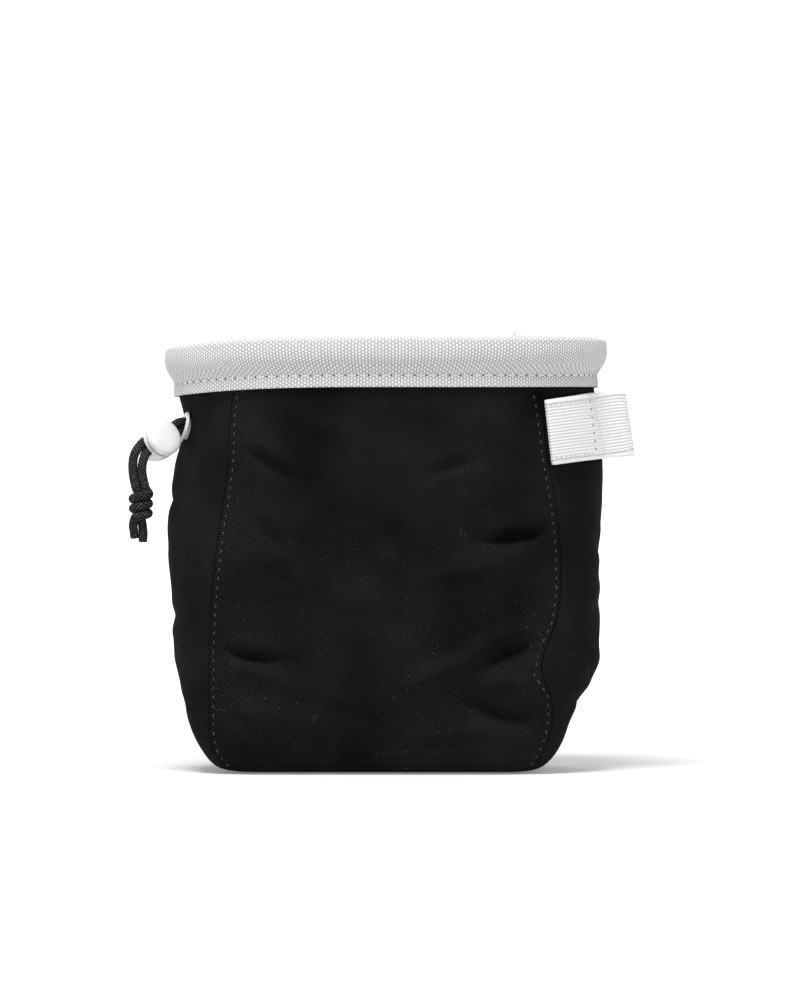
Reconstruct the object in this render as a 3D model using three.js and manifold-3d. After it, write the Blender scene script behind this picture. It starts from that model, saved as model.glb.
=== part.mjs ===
// A climbing chalk bag: a twill shell of two panels and a gusset, a padded woven rim band, a brush loop on the
// right, two belt loops at the back, and a drawcord that leaves an eyelet on the left through a cord lock.
// Millimetres. X is to the bag's right in front view, -Y is the front, +Z is up, and the floor is Z = 0.
import * as THREE from "three";
import { mergeVertices } from "three/addons/utils/BufferGeometryUtils.js";
import Module from "manifold-3d";

const wasm = await Module();
wasm.setup();

// Body.
const BODY_HEIGHT = 148; // floor to the lower edge of the rim band
const HALF_WIDTH = 84;
const HALF_DEPTH = 52;
const WALL = 1.8; // twill with its seam allowances
const GAP = 0.3; // between pieces that touch
const PANEL_COLUMNS = 18;
const GUSSET_COLUMNS = 8;
const LEFT_DROOP = 3.1; // how far the rim falls at the left end
const RIGHT_RISE = 0.9; // and rises at the right end
const FOLD_DEPTH = 4; // the deepest dent

// Rim band.
const RIM_HEIGHT = 19.5;
const RIM_OUT = 5.6; // reach of the padded roll beyond the shell's outer face
const RIM_IN = 5.2; // and beyond its inner face
const FLANGE = 1.5; // cloth of the band below the roll
const FLANGE_HEIGHT = 7;

// Webbing.
const WEBBING_WIDTH = 25;
const WEBBING = 1.7;
const BRUSH_DROP = 17.4; // its middle, below the rim band
const BRUSH_Z = BODY_HEIGHT - BRUSH_DROP;
const BRUSH_SLOPE = 0.14; // rise of the brush loop per unit of X
const BRUSH_STITCH_Y = -18; // where the loop leaves the gusset
const BRUSH_STAND = 11; // how far it stands out past the body
const BRUSH_REACH = HALF_WIDTH + BRUSH_STAND;
const BRUSH_TURN = 5; // radius of the turn
const BRUSH_TAIL_Y = 14;
const BELT_DROP = 24; // foot of its patch, below the rim band
const BELT_PATCH_Z = BODY_HEIGHT - BELT_DROP;
const BELT_LEAN = 18; // degrees outwards
const BELT_SEAT = 0.9; // a flat patch on a round wall
const BELT_OPENING = 6.4; // room for a belt between the two layers
const BELT_INSET_LEFT = 34; // from the side of the body
const BELT_INSET_RIGHT = 39;
const BELT_LEFT = { x: BELT_INSET_LEFT - HALF_WIDTH, length: 47 };
const BELT_RIGHT = { x: HALF_WIDTH - BELT_INSET_RIGHT, length: 49.5 };

// Eyelet, cord and cord lock.
const CORD = 3.3;
const EYELET_Y = -15;
const EYELET_DROP = 13.4; // its middle, below the rim band
const EYELET_Z = BODY_HEIGHT - EYELET_DROP;
const EYELET_BORE = 3.75;
const EYELET_RADIUS = 6.2;
const EYELET_TUBE = 0.65;
const EYELET_SEAT = 0.85; // a flat flange on a round wall
const LOCK_RADIUS = 7.4;
const LOCK_GROOVE = 1.5; // between the button and the barrel
const LOCK_TRAVEL = 1.2;
const LOCK_BORE = 4.9;
const STEM_GAP = 0.3;
const CHANNEL_CLOTH = 1;
const CHANNEL_SLACK = 1.4; // room in the casing past the cord
const EYELET_FOOT = 0.7; // thickness of the inner flange
const LOOP_REACH = EYELET_SEAT + EYELET_FOOT + GAP + CORD / 2; // cord's hidden run, in from the shell

function table(names, rows) {
  const keys = names.split(" ");
  return rows.map((row) => Object.fromEntries(row.map((value, k) => [keys[k], value])));
}

// Level sections of the body from the rim down: z is a share of BODY_HEIGHT, left, right and the two seams are
// shares of HALF_WIDTH, depth is a share of HALF_DEPTH, and power makes the oval squarer.
const SECTIONS = table("z left right seamLeft seamRight depth power", [
  [1.045, 0.967, 0.967, 0.695, 0.690, 1.000, 2.4],
  [0.996, 0.967, 0.967, 0.695, 0.690, 1.000, 2.4],
  [0.959, 0.955, 0.985, 0.704, 0.706, 1.000, 2.4],
  [0.905, 0.944, 1.000, 0.713, 0.719, 1.000, 2.4],
  [0.858, 0.957, 1.008, 0.715, 0.730, 1.004, 2.4],
  [0.811, 0.990, 1.012, 0.716, 0.740, 1.010, 2.4],
  [0.730, 1.007, 1.012, 0.733, 0.767, 1.018, 2.45],
  [0.649, 1.026, 1.012, 0.756, 0.787, 1.018, 2.5],
  [0.568, 1.018, 1.004, 0.775, 0.800, 1.010, 2.6],
  [0.473, 1.004, 0.994, 0.792, 0.802, 0.992, 2.8],
  [0.392, 0.994, 0.986, 0.802, 0.781, 0.977, 3.0],
  [0.324, 0.985, 0.977, 0.807, 0.721, 0.962, 3.2],
  [0.257, 0.958, 0.964, 0.807, 0.699, 0.942, 3.6],
  [0.203, 0.943, 0.938, 0.807, 0.762, 0.923, 4.1],
  [0.149, 0.924, 0.879, 0.807, 0.765, 0.900, 4.8],
  [0.095, 0.889, 0.833, 0.807, 0.751, 0.871, 5.8],
  [0.054, 0.848, 0.795, 0.788, 0.719, 0.842, 6.6],
  [0.024, 0.806, 0.750, 0.750, 0.689, 0.808, 7.0],
  [0.009, 0.769, 0.712, 0.701, 0.661, 0.777, 7.0],
]);

// Folds of the front panel, each along a line from x0, z0 to x1, z1: x in HALF_WIDTH, z in BODY_HEIGHT,
// height (a dent is negative) in FOLD_DEPTH, spread in HALF_WIDTH.
const FRONT_FOLDS = table("x0 z0 x1 z1 height spread", [
  [-0.70, 0.86, -0.44, 0.76, -0.35, 0.10],
  [-0.46, 0.97, -0.23, 0.88, 0.30, 0.14],
  [0.20, 0.77, 0.38, 0.80, -0.30, 0.10],
  [0.45, 0.94, 0.50, 0.82, 0.25, 0.12],
  [-0.12, 0.68, 0.05, 0.53, 0.35, 0.10],
  [0.05, 0.53, 0.70, 0.58, 0.40, 0.08],
  [0.42, 0.61, 0.78, 0.63, -0.55, 0.07],
  [-0.57, 0.66, -0.50, 0.60, -0.35, 0.08],
  [-0.75, 0.32, -0.50, 0.29, -0.50, 0.08],
  [0.06, 0.22, 0.44, 0.31, 0.40, 0.09],
  [0.44, 0.285, 0.68, 0.33, -1.00, 0.08],
  [0.47, 0.23, 0.74, 0.235, 0.55, 0.06],
  [0.37, 0.185, 0.66, 0.135, -0.75, 0.08],
]);
const BACK_FOLDS = table("x0 z0 x1 z1 height spread", [
  [-0.45, 0.70, 0.10, 0.62, -0.45, 0.12],
  [0.10, 0.40, 0.55, 0.48, 0.40, 0.12],
  [-0.50, 0.28, -0.10, 0.20, -0.50, 0.12],
]);
// Dents of the gusset: side is -1 left or 1 right, z in BODY_HEIGHT, across from -1 at the front seam to 1 at
// the back, height in FOLD_DEPTH, tall in BODY_HEIGHT and wide in shares of the strip.
const GUSSET_FOLDS = table("side z across height tall wide", [
  [-1, 0.955, -0.40, -0.70, 0.035, 0.45],
  [-1, 0.70, 0.30, -0.60, 0.07, 0.5],
  [-1, 0.42, -0.10, -0.40, 0.08, 0.6],
  [-1, 0.30, 0.35, 0.40, 0.08, 0.5],
  [1, 0.60, -0.20, -0.50, 0.07, 0.5],
  [1, 0.30, 0.10, 0.50, 0.07, 0.6],
  [1, 0.17, -0.20, -0.80, 0.05, 0.6],
]);

const vec = (x, y, z) => new THREE.Vector3(x, y, z);
const mix = (a, b, t) => a + (b - a) * t;
const smooth = (t) => THREE.MathUtils.smoothstep(t, 0, 1);

// Geometry from a closed surface of quads and triangles, turned so that its faces point out.
function closedGeometry(points, faces) {
  let volume = 0;
  for (const [a, b, c] of faces) {
    volume += points[a].dot(points[b].clone().cross(points[c]));
  }
  const index = faces.flatMap(([a, b, c]) => (volume > 0 ? [a, b, c] : [a, c, b]));
  const geometry = new THREE.BufferGeometry().setFromPoints(points);
  geometry.setIndex(index);
  return geometry;
}

function quad(a, b, c, d) {
  return [[a, b, c], [a, c, d]];
}

// A cloth wall between two grids of points, its outer and its inner face.
function wallGeometry(outer, inner) {
  const rows = outer.length;
  const columns = outer[0].length;
  const points = [...outer.flat(), ...inner.flat()];
  const at = (i, j, face) => face * rows * columns + i * columns + j;
  const faces = [];
  for (let i = 0; i < rows - 1; i += 1) {
    for (let j = 0; j < columns - 1; j += 1) {
      faces.push(...quad(at(i, j, 0), at(i + 1, j, 0), at(i + 1, j + 1, 0), at(i, j + 1, 0)));
      faces.push(...quad(at(i, j, 1), at(i, j + 1, 1), at(i + 1, j + 1, 1), at(i + 1, j, 1)));
    }
  }
  const edge = [];
  for (let j = 0; j < columns - 1; j += 1) edge.push([0, j]);
  for (let i = 0; i < rows - 1; i += 1) edge.push([i, columns - 1]);
  for (let j = columns - 1; j > 0; j -= 1) edge.push([rows - 1, j]);
  for (let i = rows - 1; i > 0; i -= 1) edge.push([i, 0]);
  edge.forEach(([i, j], k) => {
    const [p, q] = edge[(k + 1) % edge.length];
    faces.push(...quad(at(i, j, 0), at(p, q, 0), at(p, q, 1), at(i, j, 1)));
  });
  return closedGeometry(points, faces);
}

// A ring swept round the mouth: one closed loop of points at each station.
function ringGeometry(loops) {
  const count = loops[0].length;
  const faces = [];
  loops.forEach((loop, i) => {
    const next = (i + 1) % loops.length;
    loop.forEach((point, k) => {
      const after = (k + 1) % count;
      faces.push(...quad(i * count + k, i * count + after, next * count + after, next * count + k));
    });
  });
  return closedGeometry(loops.flat(), faces);
}

function gridNormals(grid) {
  const normals = grid.map((row) => row.map(() => vec(0, 0, 0)));
  for (let i = 0; i < grid.length - 1; i += 1) {
    for (let j = 0; j < grid[0].length - 1; j += 1) {
      const down = grid[i + 1][j].clone().add(grid[i + 1][j + 1]).sub(grid[i][j]).sub(grid[i][j + 1]);
      const along = grid[i][j + 1].clone().add(grid[i + 1][j + 1]).sub(grid[i][j]).sub(grid[i + 1][j]);
      const face = down.cross(along).normalize();
      for (const [p, q] of [[i, j], [i + 1, j], [i, j + 1], [i + 1, j + 1]]) normals[p][q].add(face);
    }
  }
  return normals.map((row) => row.map((normal) => normal.normalize()));
}

// The section at a height in millimetres, with its columns in millimetres.
function sectionAt(z) {
  const share = z / BODY_HEIGHT;
  const below = Math.max(1, SECTIONS.findIndex((row) => row.z <= share));
  const [upper, lower] = [SECTIONS[below - 1], SECTIONS[below]];
  const t = (upper.z - share) / (upper.z - lower.z);
  const column = (name) => mix(upper[name], lower[name], t);
  return {
    left: column("left") * HALF_WIDTH,
    right: column("right") * HALF_WIDTH,
    seamLeft: column("seamLeft") * HALF_WIDTH,
    seamRight: column("seamRight") * HALF_WIDTH,
    depth: column("depth") * HALF_DEPTH,
    power: column("power"),
  };
}

function lift(x, z) {
  const share = Math.abs(x / HALF_WIDTH) ** 3;
  const high = smooth((z / BODY_HEIGHT - 0.75) / 0.25);
  return (x < 0 ? -LEFT_DROOP : RIGHT_RISE) * share * high;
}

const oval = (share, power) => Math.max(0, 1 - Math.abs(share) ** power) ** (1 / power);

function foldHeight(folds, x, z) {
  let height = 0;
  for (const fold of folds) {
    const start = new THREE.Vector2(fold.x0 * HALF_WIDTH, fold.z0 * BODY_HEIGHT);
    const run = new THREE.Vector2(fold.x1 * HALF_WIDTH, fold.z1 * BODY_HEIGHT).sub(start);
    const here = new THREE.Vector2(x, z).sub(start);
    const t = THREE.MathUtils.clamp(here.dot(run) / run.lengthSq(), 0, 1);
    const away = here.sub(run.multiplyScalar(t)).length() / (fold.spread * HALF_WIDTH);
    height += fold.height * FOLD_DEPTH * Math.exp(-(away ** 2));
  }
  return height;
}

// Depth of the gusset's dents at a share of the height and a place across from one seam, -1, to the other, 1.
function gussetDent(side, share, across) {
  let height = 0;
  for (const fold of GUSSET_FOLDS.filter((each) => each.side === side)) {
    const up = (share - fold.z) / fold.tall;
    const over = (across - fold.across) / fold.wide;
    height += fold.height * FOLD_DEPTH * Math.exp(-(up ** 2) - over ** 2);
  }
  return height * (1 - across ** 4) * smooth((0.985 - share) / 0.03);
}

// Outer face of a panel, rows from the rim down and columns along X. side is -1 at the front, 1 at the back.
function panelGrid(side, folds) {
  return SECTIONS.map((row) => {
    const z = row.z * BODY_HEIGHT;
    const points = [];
    for (let j = 0; j <= PANEL_COLUMNS; j += 1) {
      const across = j / PANEL_COLUMNS;
      const x = mix(-row.seamLeft, row.seamRight, across) * HALF_WIDTH;
      const reach = (x < 0 ? row.left : row.right) * HALF_WIDTH;
      const fade = smooth((0.5 - Math.abs(across - 0.5)) / 0.1) * smooth((0.98 - row.z) / 0.08);
      const y = row.depth * HALF_DEPTH * oval(x / reach, row.power) + fade * foldHeight(folds, x, z);
      points.push(vec(x, side * y, z + lift(x, z)));
    }
    return side < 0 ? points : points.reverse();
  });
}

const frontOuter = panelGrid(-1, FRONT_FOLDS);
const backOuter = panelGrid(1, BACK_FOLDS);
const LAST = SECTIONS.length - 1;

// The U of a panel's sewn edge, down the left side, along the bottom and up the right side: places in its grid.
function sewnEdge(mirrored) {
  const column = (j) => (mirrored ? PANEL_COLUMNS - j : j);
  const places = [];
  for (let i = 0; i <= LAST; i += 1) places.push([i, column(0)]);
  for (let j = 1; j < PANEL_COLUMNS; j += 1) places.push([LAST, column(j)]);
  for (let i = LAST; i >= 0; i -= 1) places.push([i, column(PANEL_COLUMNS)]);
  return places;
}

const frontEdge = sewnEdge(false);
const backEdge = sewnEdge(true);

// One station of the gusset: the strip from the back seam to the front seam, bulging to the middle line.
function gussetRow(station) {
  const front = frontOuter[frontEdge[station][0]][frontEdge[station][1]];
  const back = backOuter[backEdge[station][0]][backEdge[station][1]];
  const onSide = station <= LAST || station >= frontEdge.length - 1 - LAST;
  const side = station <= LAST ? -1 : 1;
  const row = SECTIONS[frontEdge[station][0]];
  const z = row.z * BODY_HEIGHT;
  const reach = (side < 0 ? row.left : row.right) * HALF_WIDTH;
  const along = (station - LAST) / PANEL_COLUMNS;
  const low = SECTIONS[LAST];
  const middle = onSide
    ? vec(side * reach, 0, z + lift(side * reach, z))
    : vec(mix(-low.left, low.right, along) * HALF_WIDTH, 0, 0);
  const seam = Math.abs(front.y) / (row.depth * HALF_DEPTH);
  const half = Math.asin(Math.min(seam, 0.98));
  const start = oval(seam, row.power);
  const chord = front.clone().add(back).multiplyScalar(0.5);
  const bulge = middle.clone().sub(chord);
  const outward = bulge.clone().normalize();
  const points = [];
  for (let k = 0; k <= GUSSET_COLUMNS; k += 1) {
    const t = Math.sin(half * (1 - (2 * k) / GUSSET_COLUMNS)) / Math.sin(half);
    const round = (oval(t * seam, row.power) - start) / (1 - start);
    const flat = 1 - (1 - Math.min(1, (1 - Math.abs(t)) / 0.4)) ** 2;
    const point = chord.clone().add(back.clone().sub(chord).multiplyScalar(t));
    point.addScaledVector(bulge, onSide ? round : flat);
    points.push(point.addScaledVector(outward, onSide ? gussetDent(side, row.z, t) : 0));
  }
  return points;
}

const gussetOuter = frontEdge.map((place, station) => gussetRow(station));

// Inner faces, with the two walls of each seam mitred and drawn back by half a gap each.
const normals = {
  front: gridNormals(frontOuter),
  back: gridNormals(backOuter),
  gusset: gridNormals(gussetOuter),
};

function offset(outer, normal) {
  return outer.map((row, i) => row.map((point, j) => point.clone().addScaledVector(normal[i][j], -WALL)));
}

const frontInner = offset(frontOuter, normals.front);
const backInner = offset(backOuter, normals.back);
const gussetInner = offset(gussetOuter, normals.gusset);
const seams = [];

function mitreSeam(outer, inner, normal, edge, gussetColumn) {
  edge.forEach(([i, j], station) => {
    const own = normal[i][j];
    const other = normals.gusset[station][gussetColumn];
    const middle = own.clone().add(other).normalize();
    const out = middle.divideScalar(Math.max(0.6, middle.dot(own)));
    inner[i][j].copy(outer[i][j]).addScaledVector(out, -WALL);
    gussetInner[station][gussetColumn].copy(inner[i][j]);
    seams.push({ grid: outer, i, j, out, point: outer[i][j].clone() });
  });
}

function drawBack(outer, inner, i, j, p, q) {
  const step = outer[p][q].clone().sub(outer[i][j]).normalize().multiplyScalar(GAP / 2);
  outer[i][j].add(step);
  inner[i][j].add(step);
}

mitreSeam(frontOuter, frontInner, normals.front, frontEdge, GUSSET_COLUMNS);
mitreSeam(backOuter, backInner, normals.back, backEdge, 0);
for (const [outer, inner, edge] of [[frontOuter, frontInner, frontEdge], [backOuter, backInner, backEdge]]) {
  for (const [i, j] of edge) {
    const q = j === 0 ? 1 : j === PANEL_COLUMNS ? PANEL_COLUMNS - 1 : j;
    drawBack(outer, inner, i, j, i === LAST ? LAST - 1 : i, q);
  }
}
gussetOuter.forEach((row, station) => {
  drawBack(gussetOuter, gussetInner, station, 0, station, 1);
  drawBack(gussetOuter, gussetInner, station, GUSSET_COLUMNS, station, GUSSET_COLUMNS - 1);
});

// Stations round the mouth, anticlockwise from above: a point of the shell's outer face, its direction outwards,
// scaled where two walls meet at an angle, and down(row), the place on the inner face at a lower section.
function mouthStations() {
  const stations = [];
  const onPanel = (outer, inner, normal) => {
    for (let j = 0; j <= PANEL_COLUMNS; j += 1) {
      const seam = seams.find((each) => each.grid === outer && each.i === 0 && each.j === j);
      stations.push({
        point: (seam ? seam.point : outer[0][j]).clone(),
        out: (seam ? seam.out : normal[0][j]).clone().setZ(0),
        down: (row) => inner[row][j].clone(),
      });
    }
  };
  const onGusset = (column, station, below) => {
    stations.push({
      point: gussetOuter[station][column].clone(),
      out: normals.gusset[station][column].clone().setZ(0).normalize(),
      down: (row) => gussetInner[below(row)][column].clone(),
    });
  };
  const last = gussetOuter.length - 1;
  onPanel(frontOuter, frontInner, normals.front);
  for (let k = GUSSET_COLUMNS - 1; k > 0; k -= 1) onGusset(k, last, (row) => last - row);
  onPanel(backOuter, backInner, normals.back);
  for (let k = 1; k < GUSSET_COLUMNS; k += 1) onGusset(k, 0, (row) => row);
  return stations;
}

const mouth = mouthStations();
const SHELL_TOP = SECTIONS[0].z * BODY_HEIGHT;

// Section of the rim band: out is the reach beyond the shell's outer face, up the height over the band's
// lower edge. The slot in its underside holds the shell's top edge.
function rimSection() {
  const slotTop = SHELL_TOP - BODY_HEIGHT + GAP;
  const roll = RIM_HEIGHT - FLANGE_HEIGHT;
  const inside = -WALL - GAP;
  return [
    [GAP, 0],
    [GAP + FLANGE, 0],
    [GAP + FLANGE, FLANGE_HEIGHT * 0.55],
    [GAP + FLANGE * 0.9, FLANGE_HEIGHT * 0.78],
    [mix(FLANGE, RIM_OUT, 0.4), FLANGE_HEIGHT + roll * 0.04],
    [RIM_OUT * 0.88, FLANGE_HEIGHT + roll * 0.26],
    [RIM_OUT, FLANGE_HEIGHT + roll * 0.6],
    [RIM_OUT * 0.9, FLANGE_HEIGHT + roll * 0.88],
    [RIM_OUT * 0.45, RIM_HEIGHT],
    [-WALL - RIM_IN * 0.2, RIM_HEIGHT],
    [-WALL - RIM_IN * 0.78, FLANGE_HEIGHT + roll * 0.84],
    [-WALL - RIM_IN, FLANGE_HEIGHT + roll * 0.5],
    [-WALL - RIM_IN * 0.8, FLANGE_HEIGHT + roll * 0.18],
    [inside - FLANGE, FLANGE_HEIGHT * 0.7],
    [inside - FLANGE, 0],
    [inside, 0],
    [inside, slotTop],
    [GAP, slotTop],
  ];
}

function rimBand() {
  const section = rimSection();
  const loops = mouth.map(({ point, out }) => {
    const base = BODY_HEIGHT + lift(point.x, BODY_HEIGHT);
    return section.map(([reach, up]) => vec(point.x, point.y, base + up).addScaledVector(out, reach));
  });
  return ringGeometry(loops);
}

// Casing of the drawcord inside the shell, hung from hems at two of the body's sections.
const CHANNEL_TOP = 1.5;
const CHANNEL_FOOT = 5;

function channelPoint(station, share, reach) {
  const row = mix(CHANNEL_TOP, CHANNEL_FOOT, share);
  const above = Math.min(Math.floor(row), CHANNEL_FOOT - 1);
  const point = station.down(above).lerp(station.down(above + 1), row - above);
  return point.addScaledVector(station.out, -reach);
}

function drawcordChannel() {
  const hem = GAP + 0.1;
  const full = LOOP_REACH + CORD / 2 + CHANNEL_SLACK;
  const loops = mouth.map((station) => [
    channelPoint(station, 0, hem),
    channelPoint(station, 0.16, full),
    channelPoint(station, 0.72, full),
    channelPoint(station, 1, hem),
    channelPoint(station, 1, hem + CHANNEL_CLOTH),
    channelPoint(station, 0.76, full + CHANNEL_CLOTH),
    channelPoint(station, 0.12, full + CHANNEL_CLOTH),
    channelPoint(station, 0, hem + CHANNEL_CLOTH),
  ]);
  return ringGeometry(loops);
}

// A place on the smooth outer face of the gusset, and its direction outwards in plan.
function sidePoint(side, y, z) {
  const section = sectionAt(z);
  const reach = side < 0 ? section.left : section.right;
  const seam = side < 0 ? section.seamLeft : section.seamRight;
  const across = y / (section.depth * oval(seam / reach, section.power));
  const dent = Math.abs(across) < 1 ? gussetDent(side, z / BODY_HEIGHT, across) : 0;
  const x = side * (reach * oval(y / section.depth, section.power) + dent);
  return vec(x, y, z + lift(x, z));
}

function sideNormal(side, y, z) {
  const along = sidePoint(side, y + 0.5, z).sub(sidePoint(side, y - 0.5, z));
  const up = sidePoint(side, y, z + 4).sub(sidePoint(side, y, z - 4));
  return along.cross(up).multiplyScalar(side).normalize();
}

// Brush loop: sewn flat from the front seam to the stitch row, then out to the far end, round and back.
function brushLoop() {
  const seat = GAP + 0.3 + WEBBING / 2;
  const rows = [-0.5, -0.17, 0.17, 0.5].map((share) => {
    const height = BRUSH_Z + share * WEBBING_WIDTH;
    const onSide = (y) => {
      const flat = sidePoint(1, y, height);
      const z = height + BRUSH_SLOPE * (flat.x - SECTIONS[4].seamRight * HALF_WIDTH);
      const normal = sideNormal(1, y, z).setZ(0).normalize();
      return sidePoint(1, y, z).addScaledVector(normal, seat);
    };
    const section = sectionAt(height);
    const seamX = mix(SECTIONS[2].seamRight, SECTIONS[5].seamRight, 0.5 - share) * HALF_WIDTH + 1;
    const seamY = -section.depth * oval(seamX / section.right, section.power);
    const points = [];
    for (let k = 0; k <= 6; k += 1) points.push(onSide(mix(seamY, BRUSH_STITCH_Y, k / 6)));
    const turnX = BRUSH_REACH - BRUSH_TURN - WEBBING / 2;
    const turnY = BRUSH_STITCH_Y + 1.5 + BRUSH_TURN;
    const z = height + BRUSH_SLOPE * (turnX - seamX);
    for (let k = 0; k <= 8; k += 1) {
      const angle = Math.PI * (k / 8 - 0.5);
      points.push(vec(turnX + BRUSH_TURN * Math.cos(angle), turnY + BRUSH_TURN * Math.sin(angle), z));
    }
    for (let k = 0; k <= 4; k += 1) points.push(onSide(mix(turnY + BRUSH_TURN + 3, BRUSH_TAIL_Y, k / 4)));
    return points;
  });
  const shift = (sign) => rows.map((row) => row.map((point, k) => {
    const before = row[Math.max(0, k - 1)];
    const after = row[Math.min(row.length - 1, k + 1)];
    const run = after.clone().sub(before).setZ(0).normalize();
    return point.clone().addScaledVector(vec(run.y, -run.x, 0), sign * WEBBING / 2);
  }));
  return wallGeometry(shift(1), shift(-1));
}

// Belt loop: a sewn double patch, two layers that stand round the belt's opening, and the fold on top.
function beltLoop({ x, length }) {
  const section = sectionAt(BELT_PATCH_Z + WEBBING_WIDTH / 2);
  const reach = x < 0 ? section.left : section.right;
  const y = section.depth * oval(x / reach, section.power);
  const step = section.depth * oval((x + 1) / reach, section.power) - y;
  const inner = RIM_OUT + GAP + 1;
  const outer = inner + BELT_OPENING + 2 * WEBBING;
  const patch = length * 0.35;
  const open = length * 0.6;
  const bend = (outer - inner) / 2;
  const profile = new THREE.Shape();
  profile.moveTo(0, 0);
  profile.lineTo(2 * WEBBING, 0);
  profile.lineTo(2 * WEBBING, patch);
  profile.lineTo(outer, open);
  profile.lineTo(outer, length - bend);
  profile.absarc(outer - bend, length - bend, bend, 0, Math.PI, false);
  profile.lineTo(inner, open);
  profile.lineTo(0, patch);
  profile.closePath();
  const hole = new THREE.Path();
  hole.moveTo(WEBBING, patch + WEBBING);
  hole.lineTo(inner + WEBBING, open - WEBBING * 0.3);
  hole.lineTo(inner + WEBBING, length - bend);
  hole.absarc(outer - bend, length - bend, bend - WEBBING, Math.PI, 0, true);
  hole.lineTo(outer - WEBBING, open + WEBBING * 0.5);
  hole.closePath();
  profile.holes.push(hole);
  const settings = { depth: WEBBING_WIDTH, bevelEnabled: false, curveSegments: 4 };
  const geometry = new THREE.ExtrudeGeometry(profile, settings);
  geometry.translate(0, 0, -WEBBING_WIDTH / 2);
  const normal = vec(-step, 1, 0).normalize();
  const lean = THREE.MathUtils.degToRad(BELT_LEAN) * Math.sign(x);
  const tangent = vec(0, 0, 1).cross(normal);
  const up = vec(0, 0, 1).multiplyScalar(Math.cos(lean)).addScaledVector(tangent, -Math.sin(lean));
  const frame = new THREE.Matrix4().makeBasis(normal, up, normal.clone().cross(up));
  geometry.applyMatrix4(frame);
  const seat = vec(x, y, BELT_PATCH_Z).addScaledVector(normal, BELT_SEAT);
  geometry.translate(seat.x, seat.y, seat.z);
  return geometry;
}

const eyeletPlace = sidePoint(-1, EYELET_Y, EYELET_Z);
const eyeletNormal = sideNormal(-1, EYELET_Y, EYELET_Z);

function aimed(geometry, place, axis) {
  geometry.applyQuaternion(new THREE.Quaternion().setFromUnitVectors(vec(0, 1, 0), axis));
  geometry.translate(place.x, place.y, place.z);
  return geometry;
}

function lathe(profile, segments) {
  const points = profile.map(([radius, height]) => new THREE.Vector2(radius, height));
  return new THREE.LatheGeometry(points, segments);
}

// Eyelet: an outer flange, a tube through the wall and an inner flange; heights from the wall's outer face.
function eyelet() {
  const tube = EYELET_BORE + EYELET_TUBE;
  const inside = -WALL - EYELET_SEAT;
  const profile = [
    [EYELET_BORE, inside - EYELET_FOOT],
    [EYELET_RADIUS - 0.5, inside - EYELET_FOOT],
    [EYELET_RADIUS - 0.4, inside],
    [tube, inside],
    [tube, EYELET_SEAT],
    [EYELET_RADIUS, EYELET_SEAT],
    [EYELET_RADIUS - 0.2, EYELET_SEAT + 0.6],
    [EYELET_RADIUS - 1.2, EYELET_SEAT + 1],
    [EYELET_BORE + 0.4, EYELET_SEAT + 0.9],
    [EYELET_BORE, EYELET_SEAT + 0.4],
    [EYELET_BORE, inside - EYELET_FOOT],
  ];
  return aimed(lathe(profile, 16), eyeletPlace, eyeletNormal);
}

// Booleans on closed geometry.
function toSolid(geometry) {
  const bare = geometry.clone();
  bare.deleteAttribute("normal");
  bare.deleteAttribute("uv");
  const merged = mergeVertices(bare, 1e-4);
  return new wasm.Manifold(new wasm.Mesh({
    numProp: 3,
    vertProperties: new Float32Array(merged.attributes.position.array),
    triVerts: new Uint32Array(merged.index.array),
  }));
}

function toGeometry(solid) {
  const mesh = solid.getMesh();
  const geometry = new THREE.BufferGeometry();
  geometry.setAttribute("position", new THREE.BufferAttribute(mesh.vertProperties, 3));
  geometry.setIndex(new THREE.BufferAttribute(mesh.triVerts, 1));
  return geometry;
}

function gussetWall() {
  const radius = EYELET_BORE + EYELET_TUBE + GAP;
  const punch = aimed(new THREE.CylinderGeometry(radius, radius, WALL * 6, 20), eyeletPlace, eyeletNormal);
  return toGeometry(toSolid(wallGeometry(gussetOuter, gussetInner)).subtract(toSolid(punch)));
}

// Cord lock, along its own axis from the cord's crossing: the button faces the front and right.
const LOCK_PLACE = vec(-88.2, -25.5, 127.4);
const LOCK_AXIS = vec(0.57, -0.73, 0.37).normalize();
const LOCK_LIP = 2.6;
const LOCK_FOOT = -8;

// The slot that the two strands take through the lock, one above the other; room is its size along the axis.
function cordSlot(room, rise) {
  const wide = 2 * CORD + 3 * GAP;
  const slot = new THREE.BoxGeometry(wide, room, LOCK_RADIUS * 3);
  slot.translate(0, rise, 0);
  return slot;
}

function placeLock(geometry) {
  const through = vec(-0.669, -0.675, -0.313);
  const run = through.addScaledVector(LOCK_AXIS, -through.dot(LOCK_AXIS)).normalize();
  const frame = new THREE.Matrix4().makeBasis(LOCK_AXIS.clone().cross(run), LOCK_AXIS, run);
  geometry.applyMatrix4(frame);
  geometry.translate(LOCK_PLACE.x, LOCK_PLACE.y, LOCK_PLACE.z);
  return geometry;
}

function lockBarrel() {
  const floor = -5.6;
  const profile = [
    [0, LOCK_FOOT],
    [LOCK_RADIUS * 0.42, LOCK_FOOT],
    [LOCK_RADIUS * 0.68, LOCK_FOOT * 0.87],
    [LOCK_RADIUS * 0.9, LOCK_FOOT * 0.5],
    [LOCK_RADIUS * 0.98, 0],
    [LOCK_RADIUS, LOCK_LIP - 0.8],
    [LOCK_RADIUS * 0.98, LOCK_LIP],
    [LOCK_BORE, LOCK_LIP],
    [LOCK_BORE, floor],
    [0, floor],
  ];
  const body = toSolid(lathe(profile, 24)).subtract(toSolid(cordSlot(CORD + 2 * GAP, 0)));
  return placeLock(toGeometry(body));
}

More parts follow.
